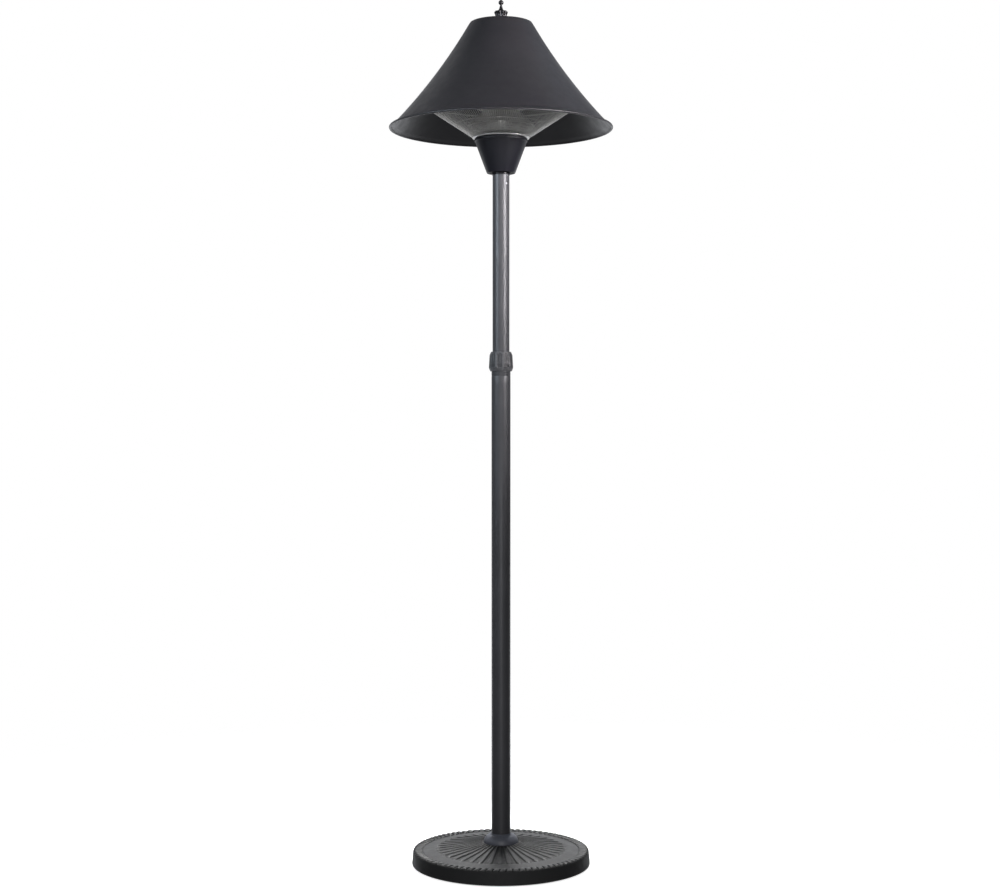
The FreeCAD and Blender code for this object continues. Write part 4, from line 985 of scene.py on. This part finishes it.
fin = [(5.4, 1999.2), (11.6, 1999.2), (12.3, 1999.6), (12.5, 2000.6)]
for k in range(1, 15):
    t = k / 14.0
    fin.append((12.4 - 0.7 * math.sin(math.pi * t) + (13.6 - 12.4) * t, 2000.6 + (2012.6 - 2000.6) * t))
for k in range(1, 12):
    t = k / 11.0
    fin.append((13.6 + (16.35 - 13.6) * t ** 1.6, 2012.6 + (2021.2 - 2012.6) * t))
fin += [(16.4, 2022.4), (16.0, 2023.5), (15.1, 2024.2), (13.6, 2024.6), (10.8, 2024.9), (8.2, 2025.5), (6.5, 2026.6), (5.6, 2027.8)]
for k in range(1, 9):
    t = k / 8.0
    fin.append((5.3 + (2.4 - 5.3) * t ** 0.8, 2028.6 + (2038.2 - 2028.6) * t))
for k in range(0, 17):
    t = math.radians(-66.0 + 140.0 * k / 16.0)
    fin.append((6.0 * math.cos(t), 2045.0 + 6.0 * math.sin(t)))
fin += [(1.6, 2051.2), (1.55, 2052.0), (1.0, 2052.9), (0.01, 2053.0), (0.01, 2018.0), (5.4, 2018.0)]
dress(lathe("finial_turning", fin, 216, 40.0, finial_shape), "finial", "dark_nickel", "finial")

washer = rounded([(5.2, 1997.6), (13.7, 1997.6, 0.3), (14.0, 1998.0, 0.3), (13.6, 1998.8, 0.4), (5.2, 1998.8)], 4)
dress(lathe("finial_washer", washer, 96, 40.0), "head", "dark_nickel", "top_washer")

# ------------------------------------------------------ pieces kept from the CAD
for name, ob in nodes.items():
    if ob.hide_render:
        continue
    slot = [s["material_slot"] for s in frame["record"]["subparts"] if s["node"] == name][0]
    ob.data.materials.clear()
    ob.data.materials.append(M[slot].mat)

# ------------------------------------------------------------- stage and camera
cam_data = bpy.data.cameras.new("camera")
cam = bpy.data.objects.new("camera", cam_data)
scene.collection.objects.link(cam)
cam_data.sensor_width = 36.0
cam_data.lens = 62.46
cam_data.shift_y = -0.0155
cam_data.clip_end = 200.0
cam.location = (-0.0024, -4.12, 1.035)
cam.rotation_euler = (math.radians(90.0), 0.0, 0.0)
scene.camera = cam

floor_verts, floor_faces = [], []
rings = [0.0, 0.15, 0.3, 0.5, 0.8, 1.2, 1.8, 2.6, 3.6, 5.0]
floor_verts.append((0.0, 0.0, 0.0))
for r in rings[1:]:
    for k in range(96):
        floor_verts.append((r / MM * math.cos(TAU * k / 96), r / MM * math.sin(TAU * k / 96), 0.0))
for k in range(96):
    floor_faces.append((0, 1 + k, 1 + (k + 1) % 96))
for i in range(len(rings) - 2):
    for k in range(96):
        l = (k + 1) % 96
        floor_faces.append((1 + i * 96 + k, 1 + (i + 1) * 96 + k, 1 + (i + 1) * 96 + l, 1 + i * 96 + l))
floor = add_mesh("floor", floor_verts, floor_faces)
fp = Paint("floor_pale", (0.86, 0.86, 0.86), 0.9)
fp.color(fp.mix(fp.span(fp.noise(3.0, 4.0), 0.3, 0.7), (0.60, 0.60, 0.60), (0.64, 0.64, 0.64)))
fp.set("Emission Color", (1.0, 1.0, 1.0, 1.0))
# painted shadow: the floor's glow falls to nothing under the base
under_base_shadow = fp.node("ShaderNodeSeparateXYZ")
fp.link(fp.polar(), under_base_shadow.inputs[0])
fp.link(fp.span(under_base_shadow.outputs[0], 0.194, 0.2095, 0.0, 0.9), fp.bsdf.inputs["Emission Strength"])
out_node = [n for n in fp.nt.nodes if n.type == "OUTPUT_MATERIAL"][0]
fade = fp.node("ShaderNodeMixShader")
clear = fp.node("ShaderNodeBsdfTransparent")
sep = fp.node("ShaderNodeSeparateXYZ")
fp.link(fp.polar(), sep.inputs[0])
fp.link(fp.span(sep.outputs[0], 0.5, 2.2), fade.inputs[0])
fp.link(fp.bsdf.outputs[0], fade.inputs[1])
fp.link(clear.outputs[0], fade.inputs[2])
fp.link(fade.outputs[0], out_node.inputs["Surface"])
floor.data.materials.append(fp.mat)
floor.visible_glossy = False
floor.visible_diffuse = False

# room light: white to the eye, and for the object a dim room with a lit rear wall
world = bpy.data.worlds.new("studio")
scene.world = world
world.use_nodes = True
wt = world.node_tree
wt.nodes.clear()
w_out = wt.nodes.new("ShaderNodeOutputWorld")
w_mix = wt.nodes.new("ShaderNodeMixShader")
w_path = wt.nodes.new("ShaderNodeLightPath")
w_room = wt.nodes.new("ShaderNodeBackground")
w_white = wt.nodes.new("ShaderNodeBackground")
w_white.inputs["Color"].default_value = (1, 1, 1, 1)
w_white.inputs["Strength"].default_value = 1.0
wt.links.new(w_path.outputs["Is Camera Ray"], w_mix.inputs[0])
wt.links.new(w_room.outputs[0], w_mix.inputs[1])
wt.links.new(w_white.outputs[0], w_mix.inputs[2])
wt.links.new(w_mix.outputs[0], w_out.inputs["Surface"])
w_co = wt.nodes.new("ShaderNodeTexCoord")
w_sep = wt.nodes.new("ShaderNodeSeparateXYZ")
wt.links.new(w_co.outputs["Generated"], w_sep.inputs[0])


def w_span(value, lo, hi, a=0.0, b=1.0):
    n = wt.nodes.new("ShaderNodeMapRange")
    n.interpolation_type = "SMOOTHSTEP"
    wt.links.new(value, n.inputs["Value"])
    for k, v in zip(("From Min", "From Max", "To Min", "To Max"), (lo, hi, a, b)):
        n.inputs[k].default_value = v
    return n.outputs["Result"]


def w_math(op, a, b):
    n = wt.nodes.new("ShaderNodeMath")
    n.operation = op
    for k, x in enumerate((a, b)):
        if isinstance(x, (int, float)):
            n.inputs[k].default_value = x
        else:
            wt.links.new(x, n.inputs[k])
    return n.outputs[0]


back = w_math("MULTIPLY", w_span(w_sep.outputs["Y"], -0.15, 0.65), w_span(w_sep.outputs["Z"], 0.06, 0.20))
back = w_math("MULTIPLY", back, w_span(w_sep.outputs["Z"], 0.60, 0.28))
high = w_math("MULTIPLY", w_span(w_sep.outputs["Y"], 0.70, 0.92), w_span(w_sep.outputs["Z"], 0.06, 0.20))
high = w_math("MULTIPLY", high, w_span(w_sep.outputs["Z"], 0.45, 0.30))
rear = w_math("MULTIPLY", w_span(w_sep.outputs["Y"], 0.50, 0.88), w_span(w_sep.outputs["Z"], -0.62, -0.36))
rear = w_math("MULTIPLY", rear, w_span(w_sep.outputs["Z"], -0.03, -0.17))
fore = w_math("MULTIPLY", w_span(w_sep.outputs["Y"], -0.50, -0.80), w_span(w_sep.outputs["Z"], -0.20, -0.34))
ground = w_span(w_sep.outputs["Z"], -0.42, -0.80)
level = w_math("ADD", w_math("MULTIPLY", back, 0.30), w_math("MULTIPLY", high, 1.08))
level = w_math("ADD", level, w_math("MULTIPLY", rear, 2.4))
level = w_math("ADD", level, w_math("MULTIPLY", fore, 0.22))
level = w_math("ADD", level, w_math("MULTIPLY", ground, 0.34))
level = w_math("ADD", level, w_span(w_sep.outputs["Z"], -0.6, 0.6, 0.14, 0.12))
w_room.inputs["Color"].default_value = (0.94, 0.96, 1.0, 1.0)
wt.links.new(level, w_room.inputs["Strength"])


def softbox(name, at, aim, size, power, color=(1, 1, 1), spread=180.0):
    data = bpy.data.lights.new(name, "AREA")
    data.shape = "RECTANGLE"
    data.size, data.size_y = size
    data.energy = power
    data.color = color
    data.spread = math.radians(spread)
    ob = bpy.data.objects.new(name, data)
    scene.collection.objects.link(ob)
    ob.location = at
    ob.visible_camera = False
    d = Vector(aim) - Vector(at)
    ob.rotation_euler = d.to_track_quat("-Z", "Y").to_euler()
    return ob


softbox("front_box", (0.1, -4.7, 2.5), (0, 0, 1.1), (1.3, 0.9), 37.0, (1.0, 0.99, 1.0))
softbox("front_strip", (0.16, -4.6, 0.9), (0, 0, 0.9), (0.7, 2.0), 27.0, (1.0, 1.0, 1.0))
softbox("left_box", (-2.43, -1.76, 2.35), (0, 0, 1.80), (0.8, 1.1), 9.0, (0.80, 0.90, 1.0), 56.0)
softbox("right_box", (2.43, -1.70, 2.35), (0, 0, 1.93), (0.8, 1.1), 12.5, (1.0, 0.96, 0.98), 31.0)
softbox("high_right", (2.2, 1.7, 4.4), (0, 0, 1.85), (1.8, 1.8), 5.0, (0.60, 0.84, 1.0))
softbox("high_left", (-2.1, 1.9, 3.7), (0, 0, 1.85), (1.8, 1.8), 7.0, (1.0, 0.98, 1.0))
softbox("base_top", (0.0, 1.6, 4.0), (0, 0, 0.04), (1.0, 0.6), 4.6, (1.0, 1.0, 1.0), 22.0)

scene.view_settings.view_transform = "Standard"
scene.view_settings.look = "None"
scene.view_settings.exposure = 0.0
